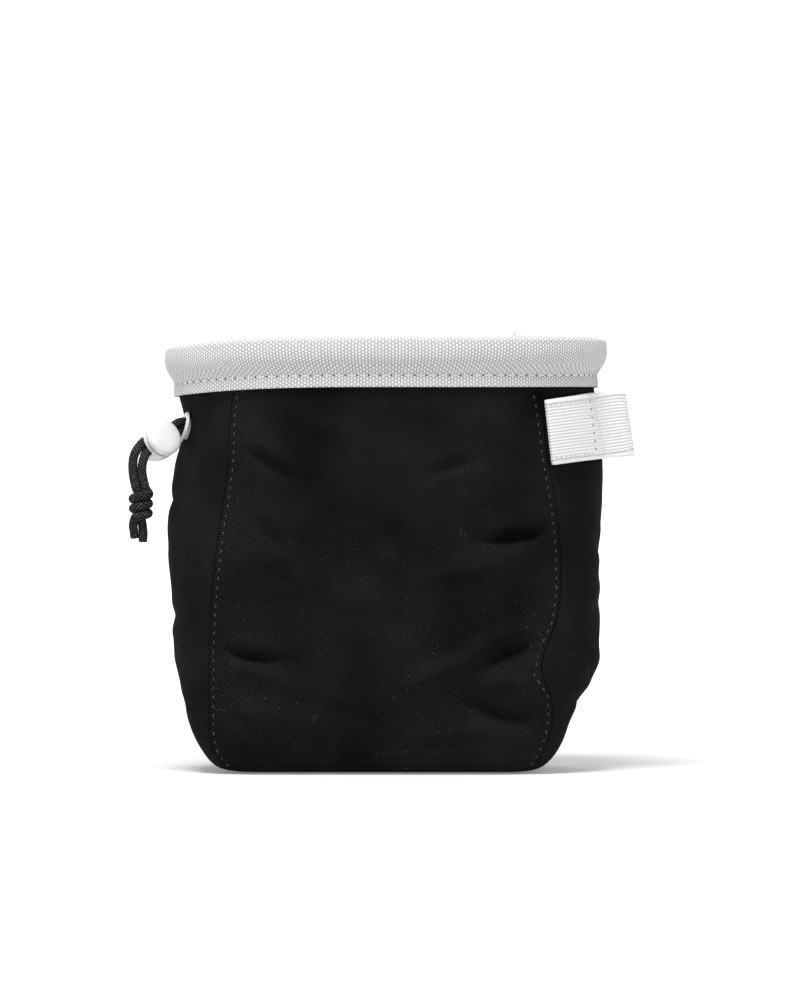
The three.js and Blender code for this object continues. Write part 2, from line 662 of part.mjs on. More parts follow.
function lockPlunger() {
  const underside = LOCK_LIP + LOCK_GROOVE;
  const profile = [
    [0, -3.4],
    [LOCK_BORE - STEM_GAP, -3.4],
    [LOCK_BORE - STEM_GAP, underside],
    [LOCK_RADIUS, underside],
    [LOCK_RADIUS, underside + 0.9],
    [LOCK_RADIUS * 0.95, underside + 1.7],
    [LOCK_RADIUS * 0.8, underside + 2.3],
    [LOCK_RADIUS * 0.5, underside + 2.8],
    [0, underside + 3],
  ];
  const room = CORD + 2 * GAP + LOCK_TRAVEL;
  const body = toSolid(lathe(profile, 24)).subtract(toSolid(cordSlot(room, LOCK_TRAVEL / 2)));
  return placeLock(toGeometry(body));
}

// Cord routes, chosen by hand. The strands run from inside the eyelet through the lock to the knot.
const UPPER_STRAND = [
  [-73.9, -14.1, 133.9],
  [-79.3, -15.6, 135.2],
  [-85.4, -21.6, 130.9],
  [-89.1, -25.4, 129.0],
  [-93.7, -30.1, 126.8],
  [-96.6, -33.0, 122.2],
  [-97.1, -33.6, 116.3],
  [-96.0, -33.6, 109.9],
];
const LOWER_STRAND = [
  [-74.8, -14.3, 130.4],
  [-79.5, -15.4, 131.6],
  [-82.3, -20.0, 128.4],
  [-87.3, -25.6, 125.8],
  [-91.6, -30.0, 123.8],
  [-93.1, -32.3, 120.6],
  [-93.6, -33.6, 116.0],
  [-92.4, -33.6, 109.9],
];
const KNOT_PLACE = vec(-94.0, -33.6, 109.4);
const KNOT_HEIGHT = 12.2;
const TAILS = [{ x: -96.2, foot: 90 }, { x: -92.8, foot: 88.6 }];

function cordTube(points, radius, steps, sides) {
  const section = new THREE.Shape();
  for (let k = 0; k < sides; k += 1) {
    const angle = (2 * Math.PI * k) / sides;
    const place = [radius * Math.cos(angle), radius * Math.sin(angle)];
    if (k === 0) section.moveTo(...place);
    else section.lineTo(...place);
  }
  section.closePath();
  const route = new THREE.CatmullRomCurve3(points.map((point) => vec(...point)));
  return new THREE.ExtrudeGeometry(section, { steps, bevelEnabled: false, extrudePath: route });
}

// The hidden run: round the mouth in its casing, from behind one strand's inner end to behind the other's.
function drawcordLoop() {
  const up = vec(0, 0, 1).addScaledVector(eyeletNormal, -eyeletNormal.z).normalize();
  const behind = (side) => eyeletPlace.clone()
    .addScaledVector(eyeletNormal, -WALL - LOOP_REACH)
    .addScaledVector(up, side * (CORD + GAP) / 2);
  const first = mouth.length - 2;
  const route = [behind(1)];
  for (let k = 0; k < mouth.length; k += 1) {
    const station = mouth[(first + k) % mouth.length];
    const ramp = Math.min(1, k / 5, (mouth.length - 1 - k) / 5);
    const level = mix(k < mouth.length / 2 ? 0.36 : 0.5, 0.48, ramp);
    route.push(channelPoint(station, level, LOOP_REACH));
  }
  route.push(behind(-1));
  return cordTube(route.map((point) => point.toArray()), CORD / 2, 46, 8);
}

function cordKnot() {
  const core = new THREE.CylinderGeometry(CORD * 0.95, CORD * 0.95, KNOT_HEIGHT, 12);
  core.rotateX(Math.PI / 2);
  core.translate(KNOT_PLACE.x, KNOT_PLACE.y, KNOT_PLACE.z - KNOT_HEIGHT / 2);
  const turns = 2.1;
  const coil = [];
  for (let k = 0; k <= 20; k += 1) {
    const angle = (k / 20) * turns * 2 * Math.PI;
    const down = mix(CORD * 0.62, KNOT_HEIGHT - CORD * 0.62, k / 20);
    const radius = CORD * 0.92;
    coil.push([
      KNOT_PLACE.x + radius * Math.cos(angle),
      KNOT_PLACE.y + radius * Math.sin(angle),
      KNOT_PLACE.z - down,
    ]);
  }
  let knot = toSolid(core).add(toSolid(cordTube(coil, CORD * 0.56, 24, 8)));
  for (const tail of TAILS) {
    const top = KNOT_PLACE.z - KNOT_HEIGHT * 0.7;
    const length = top - tail.foot;
    const end = new THREE.CylinderGeometry(CORD / 2, CORD / 2, length, 8);
    end.rotateX(Math.PI / 2);
    end.translate(tail.x, KNOT_PLACE.y, tail.foot + length / 2);
    knot = knot.add(toSolid(end));
  }
  return toGeometry(knot);
}

const MATERIALS = {
  twill: { color: 0x18181a, roughness: 0.92, metalness: 0 },
  rim: { color: 0xd2d2d2, roughness: 0.9, metalness: 0 },
  webbing: { color: 0xdcdcdc, roughness: 0.85, metalness: 0 },
  plastic: { color: 0xeeeeee, roughness: 0.4, metalness: 0 },
  cord: { color: 0x111113, roughness: 0.7, metalness: 0 },
};

const bag = new THREE.Group();

function piece(name, material, geometry) {
  const mesh = new THREE.Mesh(geometry, new THREE.MeshStandardMaterial(MATERIALS[material]));
  mesh.name = name;
  bag.add(mesh);
}

piece("front_panel", "twill", wallGeometry(frontOuter, frontInner));
piece("back_panel", "twill", wallGeometry(backOuter, backInner));
piece("gusset", "twill", gussetWall());
piece("rim_band", "rim", rimBand());
piece("drawcord_channel", "twill", drawcordChannel());
piece("brush_loop", "webbing", brushLoop());
piece("belt_loop_left", "webbing", beltLoop(BELT_LEFT));
piece("belt_loop_right", "webbing", beltLoop(BELT_RIGHT));
piece("eyelet", "plastic", eyelet());
piece("cord_lock_barrel", "plastic", lockBarrel());
piece("cord_lock_plunger", "plastic", lockPlunger());
piece("drawcord_strand_upper", "cord", cordTube(UPPER_STRAND, CORD / 2, 14, 8));
piece("drawcord_strand_lower", "cord", cordTube(LOWER_STRAND, CORD / 2, 14, 8));
piece("drawcord_loop", "cord", drawcordLoop());
piece("cord_knot", "cord", cordKnot());

export default bag;
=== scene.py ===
"""A climbing chalk bag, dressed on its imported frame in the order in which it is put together."""
import math

import bpy
import numpy as np
from mathutils import Matrix, Vector, noise
from mathutils.bvhtree import BVHTree


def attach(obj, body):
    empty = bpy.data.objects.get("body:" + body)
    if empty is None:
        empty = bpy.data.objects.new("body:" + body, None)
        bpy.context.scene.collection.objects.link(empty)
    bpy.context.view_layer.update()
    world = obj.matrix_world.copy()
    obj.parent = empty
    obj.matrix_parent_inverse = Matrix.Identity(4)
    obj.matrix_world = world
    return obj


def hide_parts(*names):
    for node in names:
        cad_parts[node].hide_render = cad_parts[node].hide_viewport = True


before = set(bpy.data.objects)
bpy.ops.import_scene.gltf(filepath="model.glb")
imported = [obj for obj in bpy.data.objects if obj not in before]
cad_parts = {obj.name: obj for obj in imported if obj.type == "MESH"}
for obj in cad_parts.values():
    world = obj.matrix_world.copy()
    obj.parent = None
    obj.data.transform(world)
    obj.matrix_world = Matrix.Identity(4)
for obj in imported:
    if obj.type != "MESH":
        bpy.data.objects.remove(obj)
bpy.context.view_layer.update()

# The stage: a pale paper sweep under and behind the bag, and a camera at the photograph's angle, level with
# the upper half of the bag. Soft boxes stand above, to the left and to the right. Further off, the paper
# glows as a backdrop lit from behind does.
scene = bpy.context.scene
CAMERA_PLACE = (0.0055, -2.2, 0.105)
VIEW_HEIGHT = 0.390
camera_lens = bpy.data.cameras.new("camera")
camera_lens.sensor_fit = "VERTICAL"
camera_lens.sensor_height = 36
camera_lens.lens = 36 * -CAMERA_PLACE[1] / VIEW_HEIGHT
camera_lens.clip_end = 30
camera = bpy.data.objects.new("camera", camera_lens)
camera.location = CAMERA_PLACE
camera.rotation_euler = (math.radians(90), 0, 0)
scene.collection.objects.link(camera)
scene.camera = camera


def soft_box(name, place, size, power):
    light = bpy.data.lights.new(name, "AREA")
    light.shape = "DISK"
    light.size = size
    light.energy = power
    lamp = bpy.data.objects.new(name, light)
    lamp.location = place
    lamp.rotation_euler = (Vector((0, 0, 0.09)) - Vector(place)).to_track_quat("-Z", "Y").to_euler()
    scene.collection.objects.link(lamp)


soft_box("box_above", (-0.2, -0.65, 1.6), 0.7, 34)
soft_box("box_left", (-1.5, -0.8, 0.7), 0.9, 4)
soft_box("box_right", (1.5, -0.6, 0.8), 0.9, 5)
scene.view_settings.view_transform = "Standard"
room = bpy.data.worlds.new("room")
room.use_nodes = True
room.node_tree.nodes["Background"].inputs["Color"].default_value = (1, 1, 1, 1)
room.node_tree.nodes["Background"].inputs["Strength"].default_value = 0.28
scene.world = room


class Shade:
    """A value in a material. Arithmetic on it adds Math nodes, and node() adds any other node."""

    def __init__(self, tree, socket=None):
        self.tree = tree
        self.socket = socket

    def node(self, kind, settings, sockets, output=0):
        made = self.tree.nodes.new("ShaderNode" + kind)
        for name, value in settings.items():
            if name == "stops":
                ramp = made.color_ramp.elements
                while len(ramp) < len(value):
                    ramp.new(0.5)
                for stop, (place, level) in zip(ramp, value):
                    stop.position = place
                    stop.color = (level, level, level, 1)
            else:
                setattr(made, name, value)
        for name, value in sockets.items():
            if isinstance(value, Shade):
                self.tree.links.new(value.socket, made.inputs[name])
            else:
                made.inputs[name].default_value = value
        return Shade(self.tree, made.outputs[output] if made.outputs else None)

    def math(self, operation, *values):
        return self.node("Math", {"operation": operation}, dict(enumerate(values)))

    def ramp(self, *stops):
        return self.node("ValToRGB", {"stops": stops}, {"Fac": self})

    def mix(self, low, high):
        return self.node("Mix", {"data_type": "RGBA"}, {0: self, 6: low, 7: high}, 2)

    def wave(self, period):
        return self.math("SINE", self * (2 * math.pi / period))

    def __add__(self, other):
        return self.math("ADD", self, other)

    def __sub__(self, other):
        return self.math("SUBTRACT", self, other)

    def __rsub__(self, other):
        return self.math("SUBTRACT", other, self)

    def __mul__(self, other):
        return self.math("MULTIPLY", self, other)

    __radd__ = __add__
    __rmul__ = __mul__


def grey(level):
    return (level, level, level, 1)


def new_material(name):
    material = bpy.data.materials.new(name)
    material.use_nodes = True
    material.node_tree.nodes.clear()
    return material, Shade(material.node_tree)


def finish_material(shade, colour, roughness, height, depth, **even):
    """Closes a material: height is its relief, depth that relief in metres, even what is alike all over."""
    normal = shade.node("Bump", {}, {"Strength": 1.0, "Distance": depth, "Height": height})
    sockets = {"Base Color": colour, "Roughness": roughness, "Normal": normal}
    for name, value in even.items():
        sockets[name.replace("_", " ").title().replace("Ior", "IOR")] = value
    surface = shade.node("BsdfPrincipled", {}, sockets)
    shade.node("OutputMaterial", {}, {"Surface": surface})


bpy.ops.object.select_all(action="DESELECT")
bpy.ops.mesh.primitive_plane_add(size=7, location=(0, -1.5, -0.0001))
sweep = bpy.context.object
sweep.name = "sweep"
bpy.ops.object.mode_set(mode="EDIT")
bpy.ops.mesh.select_all(action="DESELECT")
bpy.ops.object.mode_set(mode="OBJECT")
for edge in sweep.data.edges:
    edge.select = all(sweep.data.vertices[v].co.y > 0 for v in edge.vertices)
bpy.ops.object.mode_set(mode="EDIT")
bpy.ops.mesh.select_mode(type="EDGE")
bpy.ops.mesh.extrude_region_move(TRANSFORM_OT_translate={"value": (0, 0, 4)})
bpy.ops.mesh.select_all(action="DESELECT")
bpy.ops.object.mode_set(mode="OBJECT")
for edge in sweep.data.edges:
    ends = [sweep.data.vertices[v].co for v in edge.vertices]
    edge.select = all(end.y > 0 and end.z < 1 for end in ends)
bpy.ops.object.mode_set(mode="EDIT")
bpy.ops.mesh.bevel(offset=1.2, segments=16)
bpy.ops.mesh.select_all(action="SELECT")
bpy.ops.mesh.normals_make_consistent(inside=False)
bpy.ops.object.mode_set(mode="OBJECT")
bpy.ops.object.shade_smooth()
bpy.ops.object.transform_apply(location=True, rotation=True, scale=True)
paper, shade = new_material("paper")
spot = shade.node("TexCoord", {}, {}, "Object")
grain = shade.node("TexNoise", {}, {"Vector": spot, "Scale": 300.0})
away = shade.node("VectorMath", {"operation": "LENGTH"}, {"Vector": spot}, 1)
glow = (away * 0.5).ramp((0.1, 0.2), (0.6, 1.0))
finish_material(
    shade, grain.mix(grey(0.58), grey(0.62)), 0.95, grain, 0.00001,
    emission_color=glow, emission_strength=1.0,
)
sweep.data.materials.append(paper)

# The drawcord's two strands: 3.3 mm black braided cord, out through the eyelet one above the other, through
# the lock and down to the knot. The routes are the frame's own, in millimetres, and the braid is raised in
# the mesh.
CORD = 3.3
UPPER_STRAND = [
    (-73.9, -14.1, 133.9), (-79.3, -15.6, 135.2), (-85.4, -21.6, 130.9), (-89.1, -25.4, 129.0),
    (-93.7, -30.1, 126.8), (-96.6, -33.0, 122.2), (-97.1, -33.6, 116.3), (-96.0, -33.6, 109.9),
]
LOWER_STRAND = [
    (-74.8, -14.3, 130.4), (-79.5, -15.4, 131.6), (-82.3, -20.0, 128.4), (-87.3, -25.6, 125.8),
    (-91.6, -30.0, 123.8), (-93.1, -32.3, 120.6), (-93.6, -33.6, 116.0), (-92.4, -33.6, 109.9),
]
CARRIERS = 7
CARRIER_PITCH = 1.35
CORD_SIDES = 36


def smooth_route(points, spacing):
    """Places about spacing apart on a centripetal Catmull-Rom curve through points."""
    knots = [Vector(p) for p in points]
    knots = [2 * knots[0] - knots[1]] + knots + [2 * knots[-1] - knots[-2]]
    route = []
    for a, b, c, d in zip(knots, knots[1:], knots[2:], knots[3:]):
        t1 = (b - a).length ** 0.5
        t2 = t1 + (c - b).length ** 0.5
        t3 = t2 + (d - c).length ** 0.5
        steps = max(2, round((c - b).length / spacing))
        for k in range(steps):
            t = t1 + (t2 - t1) * k / steps
            first = a.lerp(b, t / t1)
            second = b.lerp(c, (t - t1) / (t2 - t1))
            third = c.lerp(d, (t - t2) / (t3 - t2))
            low = first.lerp(second, t / t2)
            high = second.lerp(third, (t - t1) / (t3 - t1))
            route.append(low.lerp(high, (t - t1) / (t2 - t1)))
    route.append(knots[-2])
    return route


def route_length(route):
    return sum((b - a).length for a, b in zip(route, route[1:]))


def braided_tube(name, route, diameter):
    """A closed tube along route, in millimetres, with the braid's crossings standing out of it."""
    curve = bpy.data.curves.new(name, "CURVE")
    curve.dimensions = "3D"
    curve.bevel_depth = diameter / 2
    curve.bevel_resolution = CORD_SIDES // 2 - 2
    spline = curve.splines.new("POLY")
    spline.points.add(len(route) - 1)
    for point, place in zip(spline.points, route):
        point.co = (*place, 1)
    bpy.ops.object.select_all(action="DESELECT")
    tube = bpy.data.objects.new(name, curve)
    scene.collection.objects.link(tube)
    tube.select_set(True)
    bpy.context.view_layer.objects.active = tube
    bpy.ops.object.convert(target="MESH")
    tube = bpy.context.object
    places = np.empty(len(tube.data.vertices) * 3)
    tube.data.vertices.foreach_get("co", places)
    rings = places.reshape(len(route), -1, 3)
    run = np.cumsum([0] + [(b - a).length for a, b in zip(route, route[1:])])[:, None]
    turn = np.arange(rings.shape[1])[None, :] / rings.shape[1] * CARRIERS
    left = run / CARRIER_PITCH + turn
    right = run / CARRIER_PITCH - turn
    over = (np.floor(left) + np.floor(right)) % 2
    relief = np.abs(np.sin(np.pi * np.where(over > 0, left, right))) ** 0.6
    fade = np.clip(np.minimum(run, run[-1] - run) / 0.8, 0.0, 1.0) ** 0.5
    centre = rings.mean(axis=1, keepdims=True)
    swell = (0.84 + 0.14 * fade) + 0.12 * relief * fade
    rings[:] = centre + (rings - centre) * swell[:, :, None]
    tube.data.vertices.foreach_set("co", places * 0.001)
    braid = tube.data.attributes.new("braid", "FLOAT", "POINT")
    braid.data.foreach_set("value", (relief * np.ones_like(rings[:, :, 0])).ravel())
    bpy.ops.object.mode_set(mode="EDIT")
    bpy.ops.mesh.select_all(action="SELECT")
    bpy.ops.mesh.fill_holes(sides=0)
    bpy.ops.mesh.normals_make_consistent(inside=False)
    bpy.ops.object.mode_set(mode="OBJECT")
    bpy.ops.object.shade_smooth()
    return tube


braid_black, shade = new_material("braid_black")
spot = shade.node("TexCoord", {}, {}, "Object")
strand_height = shade.node("Attribute", {"attribute_name": "braid"}, {}, "Fac")
fuzz = shade.node("TexNoise", {}, {"Vector": spot, "Scale": 2500.0, "Detail": 2.0})
# Painted sheen: the braid's raised crossings are coloured lighter where light would catch the yarns.
braid_painted_sheen = strand_height.ramp((0.72, 0.0), (1.0, 1.0)) * fuzz.ramp((0.35, 0.1), (0.65, 1.0))
finish_material(
    shade, braid_painted_sheen.mix(grey(0.0025), grey(0.12)), 0.72 + 0.15 * fuzz, fuzz, 0.00008,
    specular_ior_level=0.1,
)

strands = []
for name, points in (("upper", UPPER_STRAND), ("lower", LOWER_STRAND)):
    route = smooth_route(points, 0.3)
    strand = braided_tube("cord_" + name, route, CORD)
    strand.data.materials.append(braid_black)
    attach(strand, "bag")
    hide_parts("drawcord_strand_" + name)
    strands.append((strand, route))

# The stopper knot: one strand winds round the other under the lock, and both end in short cut tails. It is
# the same cord, so each half is a route of its own, which starts a little inside the end of its strand.
KNOT_AXIS = (-94.0, -33.6)
KNOT_RADIUS = 3.15


def winding(start, turns, high, low):
    """Points of a narrowing helix round the knot's axis, in turns from the right, negative by the front."""
    points = []
    count = round(abs(turns) * 10)
    for k in range(count + 1):
        angle = 2 * math.pi * (start + turns * k / count)
        radius = KNOT_RADIUS * (1 - 0.1 * k / count)
        x = KNOT_AXIS[0] + radius * math.cos(angle)
        y = KNOT_AXIS[1] + radius * math.sin(angle)
        points.append((x, y, high + (low - high) * k / count))
    return points


first_half = [
    (-96.5, -33.6, 112.5), (-96.0, -33.6, 109.9), (-95.0, -33.5, 107.6), (-94.2, -33.6, 104.5),
    (-94.0, -33.6, 101.5), (-93.9, -33.6, 98.5), (-93.4, -33.4, 95.2), (-93.1, -34.0, 92.4),
    (-93.3, -33.9, 88.8),
]
second_half = [(-92.9, -33.6, 112.5), (-92.4, -33.6, 109.9)] + winding(-0.02, -2.35, 107.3, 98.5)
second_half += [(-96.9, -34.6, 95.2), (-96.6, -33.9, 92.6), (-96.4, -33.7, 90.2)]
halves = []
for name, points in (("cord_knot_tied", first_half), ("second_half", second_half)):
    halves.append(braided_tube(name, smooth_route(points, 0.3), CORD * 0.98))
bpy.ops.object.select_all(action="DESELECT")
for half in halves:
    half.select_set(True)
bpy.context.view_layer.objects.active = halves[0]
bpy.ops.object.join()
knot = halves[0]
knot.data.materials.append(braid_black)
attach(knot, "bag")
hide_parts("cord_knot")

# The cord lock: a moulded white barrel, closed at the foot, and a flat domed button that a spring pushes out
# of it. Each is turned round the lock's axis, cut through by the slot that the two strands take, and eased at
# its edges.
LOCK_PLACE = Vector((-88.2, -25.5, 127.4))
LOCK_AXIS = Vector((0.57, -0.73, 0.37)).normalized()
CORD_RUN = Vector((-0.669, -0.675, -0.313))
LOCK_RADIUS = 7.4
LOCK_LIP = 2.6
BUTTON_FOOT = 4.1
SLOT_WIDTH = 7.5
SLOT_HEIGHT = 3.9
LOCK_TRAVEL = 1.2
cord_run = (CORD_RUN - LOCK_AXIS * CORD_RUN.dot(LOCK_AXIS)).normalized()
lock_frame = Matrix((LOCK_AXIS.cross(cord_run), -cord_run, LOCK_AXIS)).transposed().to_4x4()
lock_frame.translation = LOCK_PLACE


def turned(name, profile, segments=72):
    """A solid of revolution round Z from (radius, height) pairs in millimetres, with its poles closed."""
    mesh = bpy.data.meshes.new(name)
    edges = [(k, k + 1) for k in range(len(profile) - 1)]
    mesh.from_pydata([(radius, 0, height) for radius, height in profile], edges, [])
    piece = bpy.data.objects.new(name, mesh)
    scene.collection.objects.link(piece)
    bpy.ops.object.select_all(action="DESELECT")
    piece.select_set(True)
    bpy.context.view_layer.objects.active = piece
    bpy.ops.object.mode_set(mode="EDIT")
    bpy.ops.mesh.select_all(action="SELECT")
    bpy.ops.mesh.spin(steps=segments, angle=2 * math.pi, center=(0, 0, 0), axis=(0, 0, 1))
    bpy.ops.mesh.select_all(action="SELECT")
    bpy.ops.mesh.remove_doubles(threshold=0.001)
    bpy.ops.mesh.normals_make_consistent(inside=False)
    bpy.ops.object.mode_set(mode="OBJECT")
    return piece


def cut_slot(piece, rise, height):
    """Cuts the strands' slot through a piece that still stands upright, and eases every sharp edge."""
    bpy.ops.object.select_all(action="DESELECT")
    bpy.ops.mesh.primitive_cube_add(size=1, location=(0, 0, rise))
    cutter = bpy.context.object
    cutter.scale = (SLOT_WIDTH, 4 * LOCK_RADIUS, height)
    bpy.ops.object.transform_apply(location=True, rotation=True, scale=True)
    bpy.ops.object.mode_set(mode="EDIT")
    bpy.ops.mesh.select_all(action="SELECT")
    bpy.ops.mesh.bevel(offset=0.9, segments=5)
    bpy.ops.object.mode_set(mode="OBJECT")
    bpy.ops.object.select_all(action="DESELECT")
    piece.select_set(True)
    bpy.context.view_layer.objects.active = piece
    slot = piece.modifiers.new("slot", "BOOLEAN")
    slot.object = cutter
    slot.operation = "DIFFERENCE"
    slot.solver = "EXACT"
    bpy.ops.object.modifier_apply(modifier="slot")
    bpy.data.objects.remove(cutter)
    ease = piece.modifiers.new("ease", "BEVEL")
    ease.width = 0.22
    ease.segments = 3
    ease.limit_method = "ANGLE"
    ease.angle_limit = math.radians(40)
    bpy.ops.object.modifier_apply(modifier="ease")
    bpy.ops.object.shade_smooth_by_angle(angle=math.radians(50))


def seat(piece, place):
    """Turns and moves a piece made in millimetres to its place, in metres, with its origin at the world's."""
    piece.data.transform(Matrix.Diagonal((0.001, 0.001, 0.001, 1)) @ place)
    piece.data.update()


moulded_white, shade = new_material("moulded_white")
spot = shade.node("TexCoord", {}, {}, "Object")
rub = shade.node("TexNoise", {}, {"Vector": spot, "Scale": 180.0, "Detail": 4.0})
pits = shade.node("TexNoise", {}, {"Vector": spot, "Scale": 2200.0, "Detail": 1.0})
soil = rub.ramp((0.42, 0.0), (0.75, 1.0))
finish_material(
    shade, soil.mix(grey(0.74), (0.64, 0.635, 0.62, 1)), 0.3 + 0.25 * soil, pits, 0.00002,
    subsurface_weight=0.12, subsurface_scale=0.002,
)

dome = [math.radians(5 * k) for k in range(1, 18)]
barrel_profile = [(0, -8)] + [
    (LOCK_RADIUS * math.cos(a) ** 0.6, 1 - 9 * math.sin(a)) for a in reversed(dome)
]
barrel_profile += [(7.4, 1), (7.4, 1.9), (7.25, 2.6), (4.9, LOCK_LIP), (4.9, -5.6), (0, -5.6)]
button_profile = [(0, -3.4), (4.6, -3.4), (4.6, BUTTON_FOOT), (LOCK_RADIUS, BUTTON_FOOT), (LOCK_RADIUS, 5.2)]
button_profile += [(LOCK_RADIUS * math.cos(a) ** 0.7, 5.2 + 1.9 * math.sin(a) ** 0.8) for a in dome]
button_profile += [(0, 7.1)]
barrel = turned("lock_barrel_moulded", barrel_profile)
cut_slot(barrel, 0, SLOT_HEIGHT)
button = turned("lock_button_moulded", button_profile)
cut_slot(button, LOCK_TRAVEL / 2, SLOT_HEIGHT + LOCK_TRAVEL)
for piece, body, node in (
    (barrel, "bag", "cord_lock_barrel"),
    (button, "lock_button", "cord_lock_plunger"),
):
    seat(piece, lock_frame)
    piece.data.materials.append(moulded_white)
    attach(piece, body)
    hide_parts(node)

for strand, route in strands:
    route_length(route) * 0.001
    [tuple(p * 0.001) for p in route]

# The eyelet: a white rolled flange on the outside of the gusset, a tube through the cloth and a washer
# inside. Its place and direction are read from its own node, whose points lie evenly round its axis.
eyelet_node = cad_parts["eyelet"]
eyelet_points = np.array([v.co for v in eyelet_node.data.vertices]) * 1000
eyelet_points = np.unique(eyelet_points.round(3), axis=0)
eyelet_middle = eyelet_points.mean(axis=0)
directions = np.linalg.eigh(np.cov((eyelet_points - eyelet_middle).T))[1]
eyelet_out = directions[:, 0] * (1 if directions[0, 0] < 0 else -1)
eyelet_top = ((eyelet_points - eyelet_middle) @ eyelet_out).max()
eyelet_frame = Vector(eyelet_out).to_track_quat("Z", "Y").to_matrix().to_4x4()
eyelet_frame.translation = Vector(eyelet_middle + eyelet_out * (eyelet_top - 1.85))
rolled = [math.radians(15 * k) for k in range(0, 13)]
eyelet_profile = [(3.75, -3.35), (5.6, -3.35), (5.8, -3.1), (5.8, -2.65), (4.4, -2.65), (4.4, 0.85)]
eyelet_profile += [(6.1, 0.85)]
eyelet_profile += [(5.0 + 1.2 * math.cos(a), 0.95 + 0.9 * math.sin(a)) for a in rolled]
eyelet_profile += [(3.75, 0.8), (3.75, -3.35)]
eyelet = turned("eyelet_rolled", eyelet_profile)
seat(eyelet, eyelet_frame)
bpy.ops.object.shade_smooth_by_angle(angle=math.radians(50))
eyelet.data.materials.append(moulded_white)
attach(eyelet, "bag")
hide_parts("eyelet")

# The shell: two panels and a gusset of black cotton twill, 1.8 mm with what lies behind it. Each is its frame
# piece cut finer and creased: every fold is a line with a valley along it and a soft ridge at each side. A
# panel's edge laps onto the gusset inside, so that no light comes through the seam.
HALF_WIDTH = 84
HALF_DEPTH = 52
BODY_HEIGHT = 148
PANEL_FOOT = 1.4
GUSSET_HALF = 38
# Height, left reach and right reach of the panels' edge, as shares of the body's height and half width.
SEAM_ROWS = [
    (1.045, 0.695, 0.690), (0.996, 0.695, 0.690), (0.959, 0.704, 0.706), (0.905, 0.713, 0.719),
    (0.858, 0.715, 0.730), (0.811, 0.716, 0.740), (0.730, 0.733, 0.767), (0.649, 0.756, 0.787),
    (0.568, 0.775, 0.800), (0.473, 0.792, 0.802), (0.392, 0.802, 0.781), (0.324, 0.807, 0.721),
    (0.257, 0.807, 0.699), (0.203, 0.807, 0.762), (0.149, 0.807, 0.765), (0.095, 0.807, 0.751),
    (0.054, 0.788, 0.719), (0.024, 0.750, 0.689), (0.009, 0.701, 0.661),
]
# x and z of a fold's two ends in millimetres, its depth (a ridge is negative), half width and bow.
FRONT_CREASES = [
    (-59, 126.5, -36, 112, 1.5, 2.6, 1.0), (-40, 141, -20, 131, -0.8, 5.0, 0.0),
    (-34, 134, -8, 139, 0.5, 4.0, 1.0), (16, 113, 35, 120, 1.0, 2.4, 1.5),
    (40, 143, 44, 118, -0.7, 4.5, 0.0), (52, 124, 56, 104, 0.6, 3.0, -1.0),
    (-9, 100, 5, 78, -1.1, 3.6, -3.0), (3, 78, 12, 96, -0.6, 3.0, 2.0),
    (12, 74, 60, 88, -1.2, 4.0, -2.0), (36, 90, 66, 94, 2.3, 2.2, -1.0),
    (46, 97, 66, 101, -0.7, 3.5, 0.0), (-49, 98, -42, 88, 1.1, 2.4, 0.8),
    (-57, 80, -30, 70, 0.6, 3.2, 1.5), (-64, 49, -42, 44, 1.9, 2.4, -1.0),
    (-60, 41, -34, 33, -0.8, 4.0, 1.0), (5, 34, 38, 48, -1.2, 3.6, -1.5),
    (37, 43.5, 60, 50.5, 2.6, 3.0, 1.0), (39, 35.5, 63, 36.5, -1.4, 3.0, 0.0),
    (31, 29, 57, 21.5, 2.0, 3.2, -1.5), (-28, 26, 6, 19, 0.7, 3.0, 1.2),
    (-60, 24, -48, 14, 0.8, 2.6, 0.0), (-20, 60, 16, 55, 0.5, 3.4, 2.0),
    (-30, 113, 0, 108, 0.4, 3.6, -1.4), (8, 10, 40, 12, 0.6, 2.4, 0.6),
]
BACK_CREASES = [
    (-38, 104, 10, 92, 1.6, 3.0, -3.0), (-20, 116, 22, 112, -0.8, 4.5, 2.0),
    (8, 60, 46, 71, -1.3, 3.6, 2.0), (14, 52, 50, 60, 1.4, 2.8, 1.0),
    (-44, 41, -8, 29, 1.9, 3.0, -1.5), (-52, 70, -26, 80, 0.9, 2.8, 1.0),
    (-12, 44, 26, 36, 0.8, 3.4, 1.5), (30, 28, 58, 20, 1.2, 2.6, -1.0),
    (-60, 20, -34, 12, 0.8, 2.6, 0.6), (36, 108, 58, 96, 1.0, 2.8, 1.0),
    (-6, 80, 30, 84, 0.5, 3.4, -1.0),
]
# The same for the gusset's two sides, with y in the place of x.
LEFT_CREASES = [
    (-30, 108, 12, 99, 1.2, 2.8, 2.0), (-8, 88, 28, 94, 0.8, 3.2, -1.0),
    (-26, 66, 20, 58, 1.1, 2.8, -2.0), (-30, 42, 0, 50, 1.0, 2.6, 1.0),
    (4, 44, 30, 36, 0.9, 2.8, 1.0), (-20, 26, 18, 22, 1.0, 2.6, 1.0),
    (10, 116, 34, 124, 0.7, 2.6, 0.0),
]
RIGHT_CREASES = [
    (-32, 92, 4, 84, 1.5, 2.6, 1.5), (-6, 76, 28, 82, 0.8, 3.0, -1.0),
    (-30, 48, 6, 40, -0.9, 4.0, 0.0), (-34, 30, 4, 24, 2.0, 2.8, 1.0),
    (8, 52, 32, 44, 1.0, 2.6, 1.0), (-24, 62, 14, 66, 0.7, 3.0, 1.2),
    (2, 108, 30, 100, 0.9, 3.0, -1.2),
]


